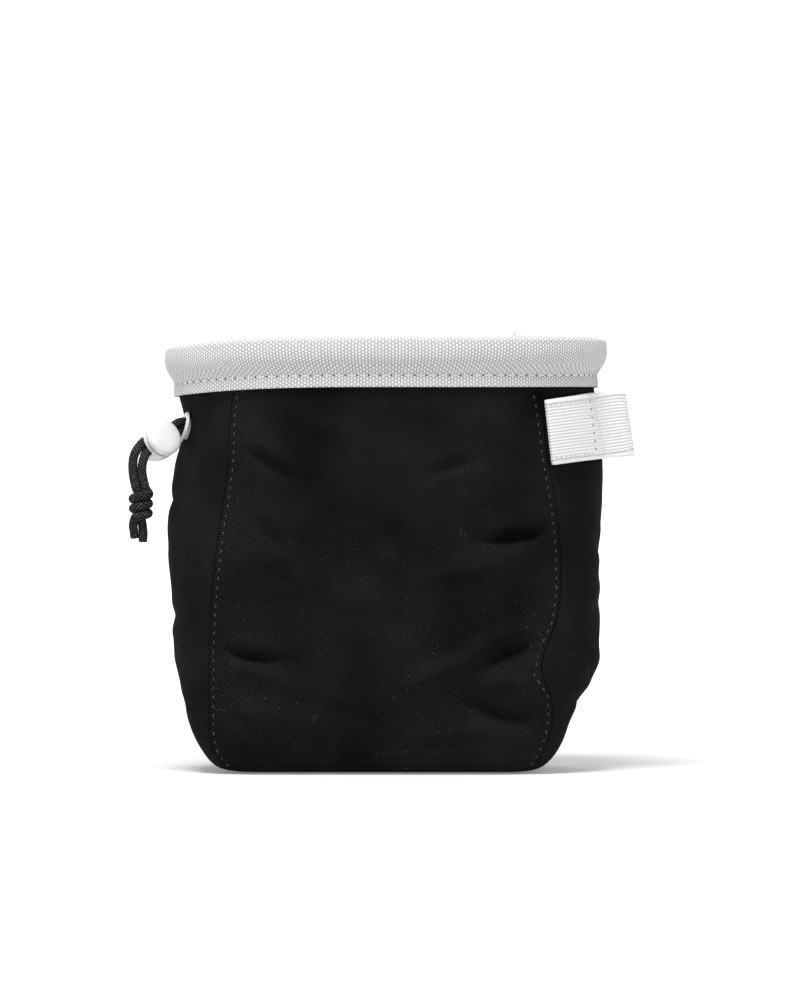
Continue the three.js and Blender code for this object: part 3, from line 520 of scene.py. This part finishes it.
def finer_copy(node, name, levels):
    """A frame piece's mesh as quads, with its sharp edges held, subdivided and smooth."""
    bpy.ops.object.select_all(action="DESELECT")
    piece = bpy.data.objects.new(name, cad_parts[node].data.copy())
    scene.collection.objects.link(piece)
    piece.data.materials.clear()
    piece.select_set(True)
    bpy.context.view_layer.objects.active = piece
    bpy.ops.object.mode_set(mode="EDIT")
    bpy.ops.mesh.select_all(action="SELECT")
    bpy.ops.mesh.remove_doubles(threshold=0.00001)
    bpy.ops.mesh.customdata_custom_splitnormals_clear()
    bpy.ops.mesh.tris_convert_to_quads(face_threshold=math.radians(60), shape_threshold=math.radians(60))
    bpy.ops.mesh.select_all(action="DESELECT")
    bpy.ops.mesh.select_mode(type="EDGE")
    bpy.ops.mesh.edges_select_sharp(sharpness=math.radians(48))
    bpy.ops.transform.edge_crease(value=0.7)
    bpy.ops.object.mode_set(mode="OBJECT")
    fine = piece.modifiers.new("fine", "SUBSURF")
    fine.levels = levels
    fine.render_levels = levels
    bpy.ops.object.modifier_apply(modifier="fine")
    bpy.ops.object.shade_smooth()
    return piece


def points_of(piece):
    """A piece's points in millimetres, one row each."""
    points = np.empty(len(piece.data.vertices) * 3)
    piece.data.vertices.foreach_get("co", points)
    return points.reshape(-1, 3) * 1000


def set_points(piece, points):
    piece.data.vertices.foreach_set("co", (points * 0.001).ravel())
    piece.data.update()


def fade(value, low, high):
    """0 below low, 1 above high and smooth between."""
    t = np.clip((value - low) / (high - low), 0, 1)
    return t * t * (3 - 2 * t)


def crease_height(x, z, table):
    """How far the folds of a table raise the cloth at each point, in millimetres."""
    height = np.zeros_like(x)
    for x0, z0, x1, z1, depth, width, bow in table:
        run = math.hypot(x1 - x0, z1 - z0)
        ux = (x1 - x0) / run
        uz = (z1 - z0) / run
        along = ((x - x0) * ux + (z - z0) * uz) / run
        inside = np.clip(along, 0, 1)
        across = ((z - z0) * ux - (x - x0) * uz - bow * 4 * inside * (1 - inside)) / width
        beyond = np.maximum(np.maximum(-along, along - 1), 0) * run / (2 * width)
        ends = (0.25 + 0.75 * np.sin(np.pi * inside) ** 0.7) * np.exp(-beyond ** 2)
        valley = np.exp(-np.abs(across) ** 1.7)
        banks = 0.42 * np.exp(-((across - 1.9) / 1.2) ** 2) + 0.3 * np.exp(-((across + 2.0) / 1.4) ** 2)
        height -= depth * ends * (valley - banks)
    return height


def ripple(x, z, size, seed):
    """Even, soft unevenness from -1 to 1 with bumps about size millimetres apart."""
    return np.array([noise.noise((a / size, b / size, seed)) for a, b in zip(x, z)])


def seam_reach(z, column):
    """How far the sewn edge stands out at height z, from that column of SEAM_ROWS: 1 left, 2 right."""
    heights = [row[0] * BODY_HEIGHT for row in reversed(SEAM_ROWS)]
    return np.interp(z, heights, [row[column] * HALF_WIDTH for row in reversed(SEAM_ROWS)])


def seam_distance(points):
    """How far each point of a panel lies inside its sewn edge, seen from the front, in millimetres."""
    left = points[:, 0] + seam_reach(points[:, 2], 1)
    right = seam_reach(points[:, 2], 2) - points[:, 0]
    return np.minimum(np.minimum(left, right), points[:, 2] - PANEL_FOOT)


def write_uv(piece, across, up):
    """A UV map in millimetres from one pair of values for each point."""
    corners = np.empty(len(piece.data.loops), dtype=np.int32)
    piece.data.loops.foreach_get("vertex_index", corners)
    for old in list(piece.data.uv_layers):
        piece.data.uv_layers.remove(old)
    layer = piece.data.uv_layers.new(name="weave")
    layer.data.foreach_set("uv", np.stack([across[corners], up[corners]], axis=1).ravel())


def twill(name, lean):
    """Black cotton twill whose wales rise to the right by lean degrees, with lint caught low down."""
    material, shade = new_material(name)
    spot = shade.node("TexCoord", {}, {}, "Object")
    flat = shade.node("UVMap", {"uv_map": "weave"}, {})
    u = shade.node("SeparateXYZ", {}, {"Vector": flat}, "X")
    v = shade.node("SeparateXYZ", {}, {"Vector": flat}, "Y")
    height = shade.node("SeparateXYZ", {}, {"Vector": spot}, "Z")
    wander = shade.node("TexNoise", {}, {"Vector": spot, "Scale": 90.0, "Detail": 2.0})
    across = v * math.cos(math.radians(lean)) - u * math.sin(math.radians(lean)) + 0.8 * wander
    along = u * math.cos(math.radians(lean)) + v * math.sin(math.radians(lean))
    wale = across.wave(0.86) * 0.5 + 0.5
    steps = (along + across * 0.7).wave(0.8) * 0.5 + 0.5
    slub = shade.node("TexNoise", {}, {"Vector": spot, "Scale": 1100.0, "Detail": 3.0})
    cloud = shade.node("TexNoise", {}, {"Vector": spot, "Scale": 28.0, "Detail": 3.0})
    yarn = wale * (0.75 + 0.25 * steps) * slub.ramp((0.3, 0.65), (0.65, 1.0))
    tone = yarn * cloud.ramp((0.3, 0.35), (0.7, 1.3))
    low = height.math("MULTIPLY_ADD", height, -9.0, 1.15)
    cells = shade.node("TexVoronoi", {}, {"Vector": spot, "Scale": 340.0})
    sparse = shade.node("TexNoise", {}, {"Vector": spot, "Scale": 50.0, "Detail": 2.0})
    speck = cells.ramp((0.05, 1.0), (0.1, 0.0)) * sparse.ramp((0.42, 0.0), (0.58, 1.0))
    drift = shade.node("TexNoise", {}, {"Vector": spot, "Scale": 75.0, "Detail": 0.0})
    patchy = shade.node("TexNoise", {}, {"Vector": spot, "Scale": 110.0, "Detail": 1.0})
    hair = drift.math("COMPARE", drift, 0.5, 0.004) * patchy.ramp((0.64, 0.0), (0.68, 0.45))
    lint = ((speck + hair) * low).math("MINIMUM", (speck + hair) * low, 1.0)
    colour = lint.mix(tone.mix(grey(0.001), grey(0.025)), grey(0.1))
    relief = wale * 0.7 + slub * 0.3 + lint * 0.4
    finish_material(
        shade, colour, 0.82 + 0.12 * slub, relief, 0.00022,
        specular_ior_level=0.02,
    )
    return material


front_twill = twill("twill_front", 18)
gusset_twill = twill("twill_gusset", 37)
LEVELS = 3

SEAM_LAP = 0.55
SEAM_GROOVE = 1.9
FOLD_DEPTH = 2.0
SIDE_FOLD_DEPTH = 0.75

panels = {}
for side, node, table in ((-1, "front_panel", FRONT_CREASES), (1, "back_panel", BACK_CREASES)):
    panel = finer_copy(node, node + "_twill", LEVELS)
    points = points_of(panel)
    x = points[:, 0].copy()
    z = points[:, 2].copy()
    inset = seam_distance(points)
    body = fade(inset, 2.0, 12.0) * fade(146 - z, 0.0, 10.0)
    soft = 0.75 * ripple(x, z, 24, 3.1 + side) + 0.28 * ripple(x, z, 9, 7.7 + side)
    edge = fade(inset, -1.0, 0.6) * (1 - fade(inset, 3.2, 4.6))
    groove = np.exp(-((inset - SEAM_GROOVE) / 0.75) ** 2)
    pucker = 0.16 * np.cos(2 * np.pi * z / 7.0) * np.exp(-((inset - 4.5) / 3.0) ** 2)
    top = fade(147 - z, 0.0, 4.0)
    rise = body * (FOLD_DEPTH * crease_height(x, z, table) + 1.5 * soft)
    rise += top * (0.55 * edge - 0.5 * groove + pucker)
    points[:, 1] += side * rise
    facing = np.empty(len(panel.data.vertices) * 3)
    panel.data.vertices.foreach_get("normal", facing)
    inner_face = facing.reshape(-1, 3)[:, 1] * side < -0.2
    points[:, 1] -= side * SEAM_LAP * inner_face * (1 - fade(inset, 4.0, 7.0))
    set_points(panel, points)
    write_uv(panel, x * -side, z)
    panel.data.materials.append(front_twill)
    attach(panel, "bag")
    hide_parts(node)
    panels[side] = panel

gusset = finer_copy("gusset", "gusset_twill", LEVELS)
points = points_of(gusset)
x, y, z = points.T.copy()
body = fade(GUSSET_HALF - np.abs(y), -4.0, 8.0) * fade(z, 6.0, 16.0) * fade(146 - z, 0.0, 10.0)
eyelet_away = np.linalg.norm(points - np.array(eyelet_frame.translation), axis=1)
body *= fade(eyelet_away, 7.0, 14.0)
soft = 0.7 * ripple(y, z, 22, 11.3) + 0.26 * ripple(y, z, 9, 15.9)
folds = np.where(x < 0, crease_height(y, z, LEFT_CREASES), crease_height(y, z, RIGHT_CREASES))
points[:, 0] += np.sign(x) * body * (SIDE_FOLD_DEPTH * folds + 0.5 * soft)
set_points(gusset, points)
write_uv(gusset, y, np.sign(x) * (np.minimum(np.abs(x), 60) + z))
gusset.data.materials.append(gusset_twill)
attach(gusset, "bag")
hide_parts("gusset")

# The topstitch of the seams: black polyester thread, a stitch every 3.5 mm, just inside each panel's turned
# edge. One stitch is a stretched bead, and every other one is a copy of it laid on the cloth.
SEAM_STITCH = 3.5


def surface_of(piece):
    """What rays can hit of a finished piece, in millimetres."""
    points = points_of(piece)
    faces = [tuple(face.vertices) for face in piece.data.polygons]
    return BVHTree.FromPolygons([tuple(p) for p in points], faces)


def stitch_bead(length, thickness):
    """One stitch at the origin along X, as points and faces in millimetres."""
    bpy.ops.object.select_all(action="DESELECT")
    bpy.ops.mesh.primitive_uv_sphere_add(segments=8, ring_count=5, radius=0.5)
    bead = bpy.context.object
    bpy.ops.object.mode_set(mode="EDIT")
    bpy.ops.mesh.select_all(action="SELECT")
    bpy.ops.transform.rotate(value=math.pi / 2, orient_axis="Y", center_override=(0, 0, 0))
    bpy.ops.transform.resize(value=(length, thickness, thickness), center_override=(0, 0, 0))
    bpy.ops.object.mode_set(mode="OBJECT")
    places = np.array([v.co for v in bead.data.vertices])
    places[:, 2] -= 0.9 * (places[:, 0] / length) ** 2 * thickness * 2
    faces = [tuple(face.vertices) for face in bead.data.polygons]
    bpy.data.objects.remove(bead)
    return places, faces


def lay_stitches(name, surface, rows, pitch, length, thickness, sink=0.1, first=0.5):
    """Stitches along rows of rays (from, to, in millimetres), the first at that share of a pitch."""
    bead, bead_faces = stitch_bead(length, thickness)
    places = []
    faces = []
    for row in rows:
        found = []
        for start, towards in row:
            ray = (Vector(towards) - Vector(start)).normalized()
            hit, normal = surface.ray_cast(Vector(start), ray)[:2]
            if hit is not None:
                found.append((hit, normal))
        run = 0.0
        wait = pitch * first
        for (a, normal), (b, after) in zip(found, found[1:]):
            step = (b - a).length
            if step > 2 * pitch or step == 0:
                continue
            while run + step >= wait:
                t = (wait - run) / step
                spot = a.lerp(b, t)
                out = normal.lerp(after, t).normalized()
                along = (b - a).normalized()
                over = out.cross(along).normalized()
                out = along.cross(over).normalized()
                basis = np.array([along, over, out])
                base = len(places)
                places.extend(bead @ basis + np.array(spot - out * sink))
                faces.extend(tuple(base + v for v in face) for face in bead_faces)
                wait += pitch
            run += step
    mesh = bpy.data.meshes.new(name)
    mesh.from_pydata([tuple(p * 0.001) for p in places], [], faces)
    stitches = bpy.data.objects.new(name, mesh)
    scene.collection.objects.link(stitches)
    bpy.ops.object.select_all(action="DESELECT")
    stitches.select_set(True)
    bpy.context.view_layer.objects.active = stitches
    bpy.ops.object.mode_set(mode="EDIT")
    bpy.ops.mesh.select_all(action="SELECT")
    bpy.ops.mesh.normals_make_consistent(inside=False)
    bpy.ops.object.mode_set(mode="OBJECT")
    bpy.ops.object.shade_smooth()
    return stitches


def thread(name, dark, light):
    material, shade = new_material(name)
    spot = shade.node("TexCoord", {}, {}, "Object")
    ply = shade.node("TexNoise", {}, {"Vector": spot, "Scale": 3000.0, "Detail": 2.0})
    finish_material(shade, ply.mix(grey(dark), grey(light)), 0.6, ply, 0.00005)
    return material


# The black thread's ply tone runs up to mid grey; its light flecks are painted sheen.
black_thread = thread("thread_black", 0.02, 0.16)
for side, node in ((-1, "front"), (1, "back")):
    surface = surface_of(panels[side])
    rows = []
    for column in (1, 2):
        row = []
        for z in np.arange(2.5, 146.5, 0.6):
            x = (seam_reach(z, column) - SEAM_GROOVE) * (-1 if column == 1 else 1)
            row.append(((x, side * 90, z), (x, 0, z)))
        rows.append(row)
    seam = lay_stitches(node + "_seam_stitches", surface, rows, SEAM_STITCH, 2.5, 0.42)
    seam.data.materials.append(black_thread)
    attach(seam, "bag")

# The rim band: heavy light grey cloth sewn round the mouth over a padded roll, with a soft crease where the
# roll meets the flange. Its UV map goes round the mouth and up over the roll, so that the weave follows the
# cloth.
RIM_FOOT = 148
STITCH_HEIGHT = 4.5
RIM_STITCH = 4.4
THREAD_ROWS = 2.32
THREAD_STEPS = 1.4


def lift(x):
    """How far the mouth stands above its level at x, in millimetres: low at the left, high at the right."""
    return np.where(x < 0, -3.1, 0.9) * np.abs(x / HALF_WIDTH) ** 3


def mouth_place(turn):
    """A point of the mouth's outline; turn is 0 at the front and grows to the right, in radians."""
    x = 0.967 * HALF_WIDTH * np.sign(np.sin(turn)) * np.abs(np.sin(turn)) ** (2 / 2.4)
    y = -HALF_DEPTH * np.sign(np.cos(turn)) * np.abs(np.cos(turn)) ** (2 / 2.4)
    return x, y


turns = np.linspace(-np.pi, np.pi, 1441)
mouth_x, mouth_y = mouth_place(turns)
mouth_angle = np.unwrap(np.arctan2(mouth_x, -mouth_y))
mouth_run = np.concatenate([[0], np.cumsum(np.hypot(np.diff(mouth_x), np.diff(mouth_y)))])
mouth_run *= round(mouth_run[-1] / THREAD_ROWS) * THREAD_ROWS / mouth_run[-1]
rim = finer_copy("rim_band", "rim_band_woven", LEVELS)
points = points_of(rim)
angle = np.arctan2(points[:, 0], -points[:, 1])
around = np.interp(angle, mouth_angle, mouth_run)
outline = np.stack([np.interp(angle, mouth_angle, mouth_x), np.interp(angle, mouth_angle, mouth_y)], axis=1)
outward = outline / np.linalg.norm(outline, axis=1)[:, None]
reach = np.einsum("ij,ij->i", points[:, :2] - outline, outward)
up = points[:, 2] - RIM_FOOT - lift(points[:, 0])
round_roll = np.arctan2(up - 13, reach + 0.9)
round_roll = np.where(round_roll < -2.0, round_roll + 2 * np.pi, round_roll)
over_roll = 8.5 + 7.2 * (round_roll + 0.71)
inner_flange = 8.5 + 7.2 * (np.pi + 1.42) + 8.5 - up
over = np.where(up > 8.5, over_roll, np.where(reach > -1, up, inner_flange))
unevenness = 0.22 * ripple(around, over, 13, 21.0) + 0.1 * ripple(around, over, 5, 23.0)
swell = fade(up, 6.0, 10.0) * unevenness
tuck = 0.3 * np.exp(-((up - STITCH_HEIGHT) / 0.8) ** 2) * (reach > 0.9)
points[:, :2] += outward * (np.where(reach > -1, swell, -swell) - tuck)[:, None]
points[:, 2] += fade(up, 12.0, 18.0) * unevenness
set_points(rim, points)
write_uv(rim, around, over)
uv = np.empty(len(rim.data.loops) * 2)
rim.data.uv_layers["weave"].data.foreach_get("uv", uv)
uv = uv.reshape(-1, 2)
for face in rim.data.polygons:
    corners = list(face.loop_indices)
    if np.ptp(uv[corners, 0]) > mouth_run[-1] / 2:
        uv[corners, 0] += np.where(uv[corners, 0] < mouth_run[-1] / 2, mouth_run[-1], 0)
rim.data.uv_layers["weave"].data.foreach_set("uv", uv.ravel())

rim_weave, shade = new_material("rim_weave")
spot = shade.node("TexCoord", {}, {}, "Object")
flat = shade.node("UVMap", {"uv_map": "weave"}, {})
u = shade.node("SeparateXYZ", {}, {"Vector": flat}, "X")
v = shade.node("SeparateXYZ", {}, {"Vector": flat}, "Y")
wander = shade.node("TexNoise", {}, {"Vector": spot, "Scale": 120.0, "Detail": 2.0}) - 0.5
u = u + 0.1 * wander
v = v + 0.2 * wander
columns = u.wave(THREAD_ROWS / 2) * 0.5 + 0.5
dots = columns * ((u + THREAD_ROWS / 8).wave(THREAD_ROWS) * v.wave(THREAD_STEPS) * 0.5 + 0.5)
slub = shade.node("TexNoise", {}, {"Vector": spot, "Scale": 900.0, "Detail": 2.0})
cloud = shade.node("TexNoise", {}, {"Vector": spot, "Scale": 35.0, "Detail": 2.0})
lit = dots.ramp((0.05, 0.0), (0.6, 1.0)) * (0.75 + 0.5 * slub) * (0.9 + 0.2 * cloud)
finish_material(
    shade, lit.mix(grey(0.38), grey(0.80)), 0.85, dots * 0.8 + slub * 0.2, 0.0003,
    specular_ior_level=0.15,
)
rim.data.materials.append(rim_weave)
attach(rim, "bag")
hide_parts("rim_band")

# The rim's stitching: thick light thread along the flange, a stitch every 4.4 mm, pulled into needle holes.
# The shade in those holes is painted: dark beads lie between one stitch and the next.
white_thread = thread("thread_white", 0.62, 0.85)
# Painted shade: a near-black material for the shade that falls inside the needle holes.
needle_hole_painted_shade = thread("needle_hole_painted_shade", 0.012, 0.03)
rim_surface = surface_of(rim)
ring = []
for turn in np.linspace(-np.pi, np.pi, 900):
    x, y = mouth_place(turn)
    z = RIM_FOOT + STITCH_HEIGHT + float(lift(np.array(x)))
    ring.append(((x * 1.4, y * 1.4, z), (x * 0.8, y * 0.8, z)))
for name, first, length, thickness, sink, material in (
    ("rim_stitches", 0.5, 3.7, 0.62, 0.05, white_thread),
    ("rim_needle_holes", 1.0, 1.15, 1.1, 0.25, needle_hole_painted_shade),
):
    row = lay_stitches(name, rim_surface, [ring], RIM_STITCH, length, thickness, sink, first)
    row.data.materials.append(material)
    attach(row, "bag")

# The brush loop: 25 mm ribbed webbing, sewn flat on the right side from the seam to a row of stitches, then
# out to its turn and back. Its ribs run along it, so its UV map has the width straightened out.
BRUSH_Z = 130.6
BRUSH_SLOPE = 0.14
BRUSH_SEAM_X = 61.3
RIB_PITCH = 1.2


ribbed, shade = new_material("webbing_ribbed")
spot = shade.node("TexCoord", {}, {}, "Object")
flat = shade.node("UVMap", {"uv_map": "weave"}, {})
u = shade.node("SeparateXYZ", {}, {"Vector": flat}, "X")
v = shade.node("SeparateXYZ", {}, {"Vector": flat}, "Y")
wander = shade.node("TexNoise", {}, {"Vector": spot, "Scale": 150.0, "Detail": 2.0}) - 0.5
rib = (u + 0.25 * wander).wave(RIB_PITCH) * 0.5 + 0.5
picks = (v + u * 0.5).wave(0.75) * 0.5 + 0.5
slub = shade.node("TexNoise", {}, {"Vector": spot, "Scale": 1000.0, "Detail": 2.0})
from_middle = u.math("ABSOLUTE", u)
selvedge = from_middle.math("COMPARE", from_middle, 12.0, 0.75)
groove = from_middle.math("COMPARE", from_middle, 10.9, 0.3)
inside = 1 - selvedge
relief = (rib * 0.75 + picks * 0.15) * inside + selvedge * 0.8 - groove * 0.5
# Painted shade: the colour is darkened along the groove beside the selvedge, where the relief sinks.
lit = (0.3 + 0.6 * rib) * (0.7 + 0.6 * slub) * inside + selvedge * 0.95 - groove * 0.5
finish_material(
    shade, lit.mix(grey(0.58), grey(0.76)), 0.8, relief + slub * 0.2, 0.00025,
    specular_ior_level=0.15,
)

brush = finer_copy("brush_loop", "brush_loop_webbing", LEVELS)
points = points_of(brush)
across = points[:, 2] - BRUSH_SLOPE * (points[:, 0] - BRUSH_SEAM_X) - BRUSH_Z
along = points[:, 0] * 0.85 + points[:, 1] * 0.53
points[:, 1] += 0.12 * ripple(points[:, 0], points[:, 2], 7, 31.0) * fade(points[:, 0], 84.0, 90.0)
points[:, 2] -= 0.035 * across * fade(points[:, 0], 90.0, 95.0)
points[:, 0] -= BRUSH_SLOPE * across * fade(points[:, 0], 72.0, 88.0)
set_points(brush, points)
write_uv(brush, across, along)
brush.data.materials.append(ribbed)
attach(brush, "bag")
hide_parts("brush_loop")

brush_surface = surface_of(brush)


def brush_ray(x, across):
    z = BRUSH_Z + across + BRUSH_SLOPE * (x - BRUSH_SEAM_X)
    return ((x, -90, z), (x, 0, z))


long_rows = [[brush_ray(x, side * 10.2) for x in np.arange(61.5, 80.5, 0.4)] for side in (-1, 1)]
cross_row = [[brush_ray(80.0 + 0.12 * -k, k) for k in np.arange(-11.8, 12.0, 0.4)]]
# The hole rows are dark beads, painted shade in the needle holes between the stitches.
for name, rows, pitch, first, length, thickness, sink, material in (
    ("brush_edge_stitches", long_rows, 2.4, 0.5, 1.5, 0.5, 0.1, white_thread),
    ("brush_edge_holes", long_rows, 2.4, 1.0, 1.1, 0.45, 0.12, needle_hole_painted_shade),
    ("brush_cross_stitches", cross_row, 3.1, 0.5, 1.6, 0.75, 0.1, white_thread),
    ("brush_cross_holes", cross_row, 3.1, 1.0, 1.9, 0.8, 0.15, needle_hole_painted_shade),
):
    row = lay_stitches(name, brush_surface, rows, pitch, length, thickness, sink, first)
    row.data.materials.append(material)
    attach(row, "bag")

# The belt loops: the same webbing, doubled, one on each side of the back, leaning outwards. Each is boxed to
# the shell by stitches below and stands open above them, so that a belt passes between its layers.
BELT_PATCH_Z = 124
BELT_SEAT = 0.9
BELT_BOX = [(-10.2, 2, 10.2, 2), (-10.2, 14, 10.2, 14), (-10.2, 2, -10.2, 14), (10.2, 2, 10.2, 14)]
for name, x, y, slope in (("left", -50, 44.07, 0.416), ("right", 45, 46.73, -0.31)):
    out = Vector((-slope, 1, 0)).normalized()
    lean = math.radians(18) * (-1 if x < 0 else 1)
    tangent = Vector((0, 0, 1)).cross(out)
    rise = Vector((0, 0, 1)) * math.cos(lean) - tangent * math.sin(lean)
    wide = out.cross(rise)
    foot = Vector((x, y, BELT_PATCH_Z)) + out * BELT_SEAT
    loop = finer_copy("belt_loop_" + name, "belt_loop_" + name + "_webbing", LEVELS)
    points = points_of(loop)
    from_foot = points - np.array(foot)
    write_uv(loop, from_foot @ np.array(wide), from_foot @ np.array(rise))
    loop.data.materials.append(ribbed)
    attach(loop, "bag")
    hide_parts("belt_loop_" + name)
    loop_surface = surface_of(loop)
    box = []
    for x0, z0, x1, z1 in BELT_BOX:
        side = []
        for k in range(61):
            spot = foot + wide * (x0 + (x1 - x0) * k / 60) + rise * (z0 + (z1 - z0) * k / 60)
            side.append((tuple(spot + out * 60), tuple(spot)))
        box.append(side)
    # The second row is dark beads, painted shade in the needle holes between the stitches.
    for kind, first, length, thickness, material in (
        ("stitches", 0.5, 2.3, 0.6, white_thread),
        ("holes", 1.0, 0.9, 0.6, needle_hole_painted_shade),
    ):
        row = lay_stitches("belt_" + name + "_" + kind, loop_surface, box, 3.1, length, thickness, 0.1, first)
        row.data.materials.append(material)
        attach(row, "bag")

# The drawcord's casing inside the mouth: thin black lining cloth, gathered a little, hemmed to the shell
# above and below the cord. The cord's run round the mouth lies hidden in it and keeps its frame piece.
casing = finer_copy("drawcord_channel", "drawcord_casing", 2)
points = points_of(casing)
angle = np.arctan2(points[:, 0], -points[:, 1])
around = np.interp(angle, mouth_angle, mouth_run)
inward = -points[:, :2] / np.linalg.norm(points[:, :2], axis=1)[:, None]
belly = fade(points[:, 2], 121.0, 126.0) * (1 - fade(points[:, 2], 138.0, 143.0))
gather = 0.35 * ripple(around, points[:, 2] * 0.3, 6, 41.0)
gather += 0.2 * ripple(around, points[:, 2] * 0.3, 2.6, 43.0)
points[:, :2] += inward * (belly * (0.3 + gather))[:, None]
set_points(casing, points)
write_uv(casing, around, points[:, 2])
lining, shade = new_material("lining_black")
flat = shade.node("UVMap", {"uv_map": "weave"}, {})
spot = shade.node("TexCoord", {}, {}, "Object")
u = shade.node("SeparateXYZ", {}, {"Vector": flat}, "X")
v = shade.node("SeparateXYZ", {}, {"Vector": flat}, "Y")
mesh_weave = u.wave(0.9) * v.wave(0.9) * 0.5 + 0.5
slub = shade.node("TexNoise", {}, {"Vector": spot, "Scale": 900.0, "Detail": 2.0})
finish_material(
    shade, (mesh_weave * slub).mix(grey(0.008), grey(0.04)), 0.8, mesh_weave, 0.00015,
    specular_ior_level=0.2,
)
casing.data.materials.append(lining)
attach(casing, "bag")
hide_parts("drawcord_channel")
hidden_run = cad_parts["drawcord_loop"]
hidden_run.data.materials.clear()
hidden_run.data.materials.append(braid_black)
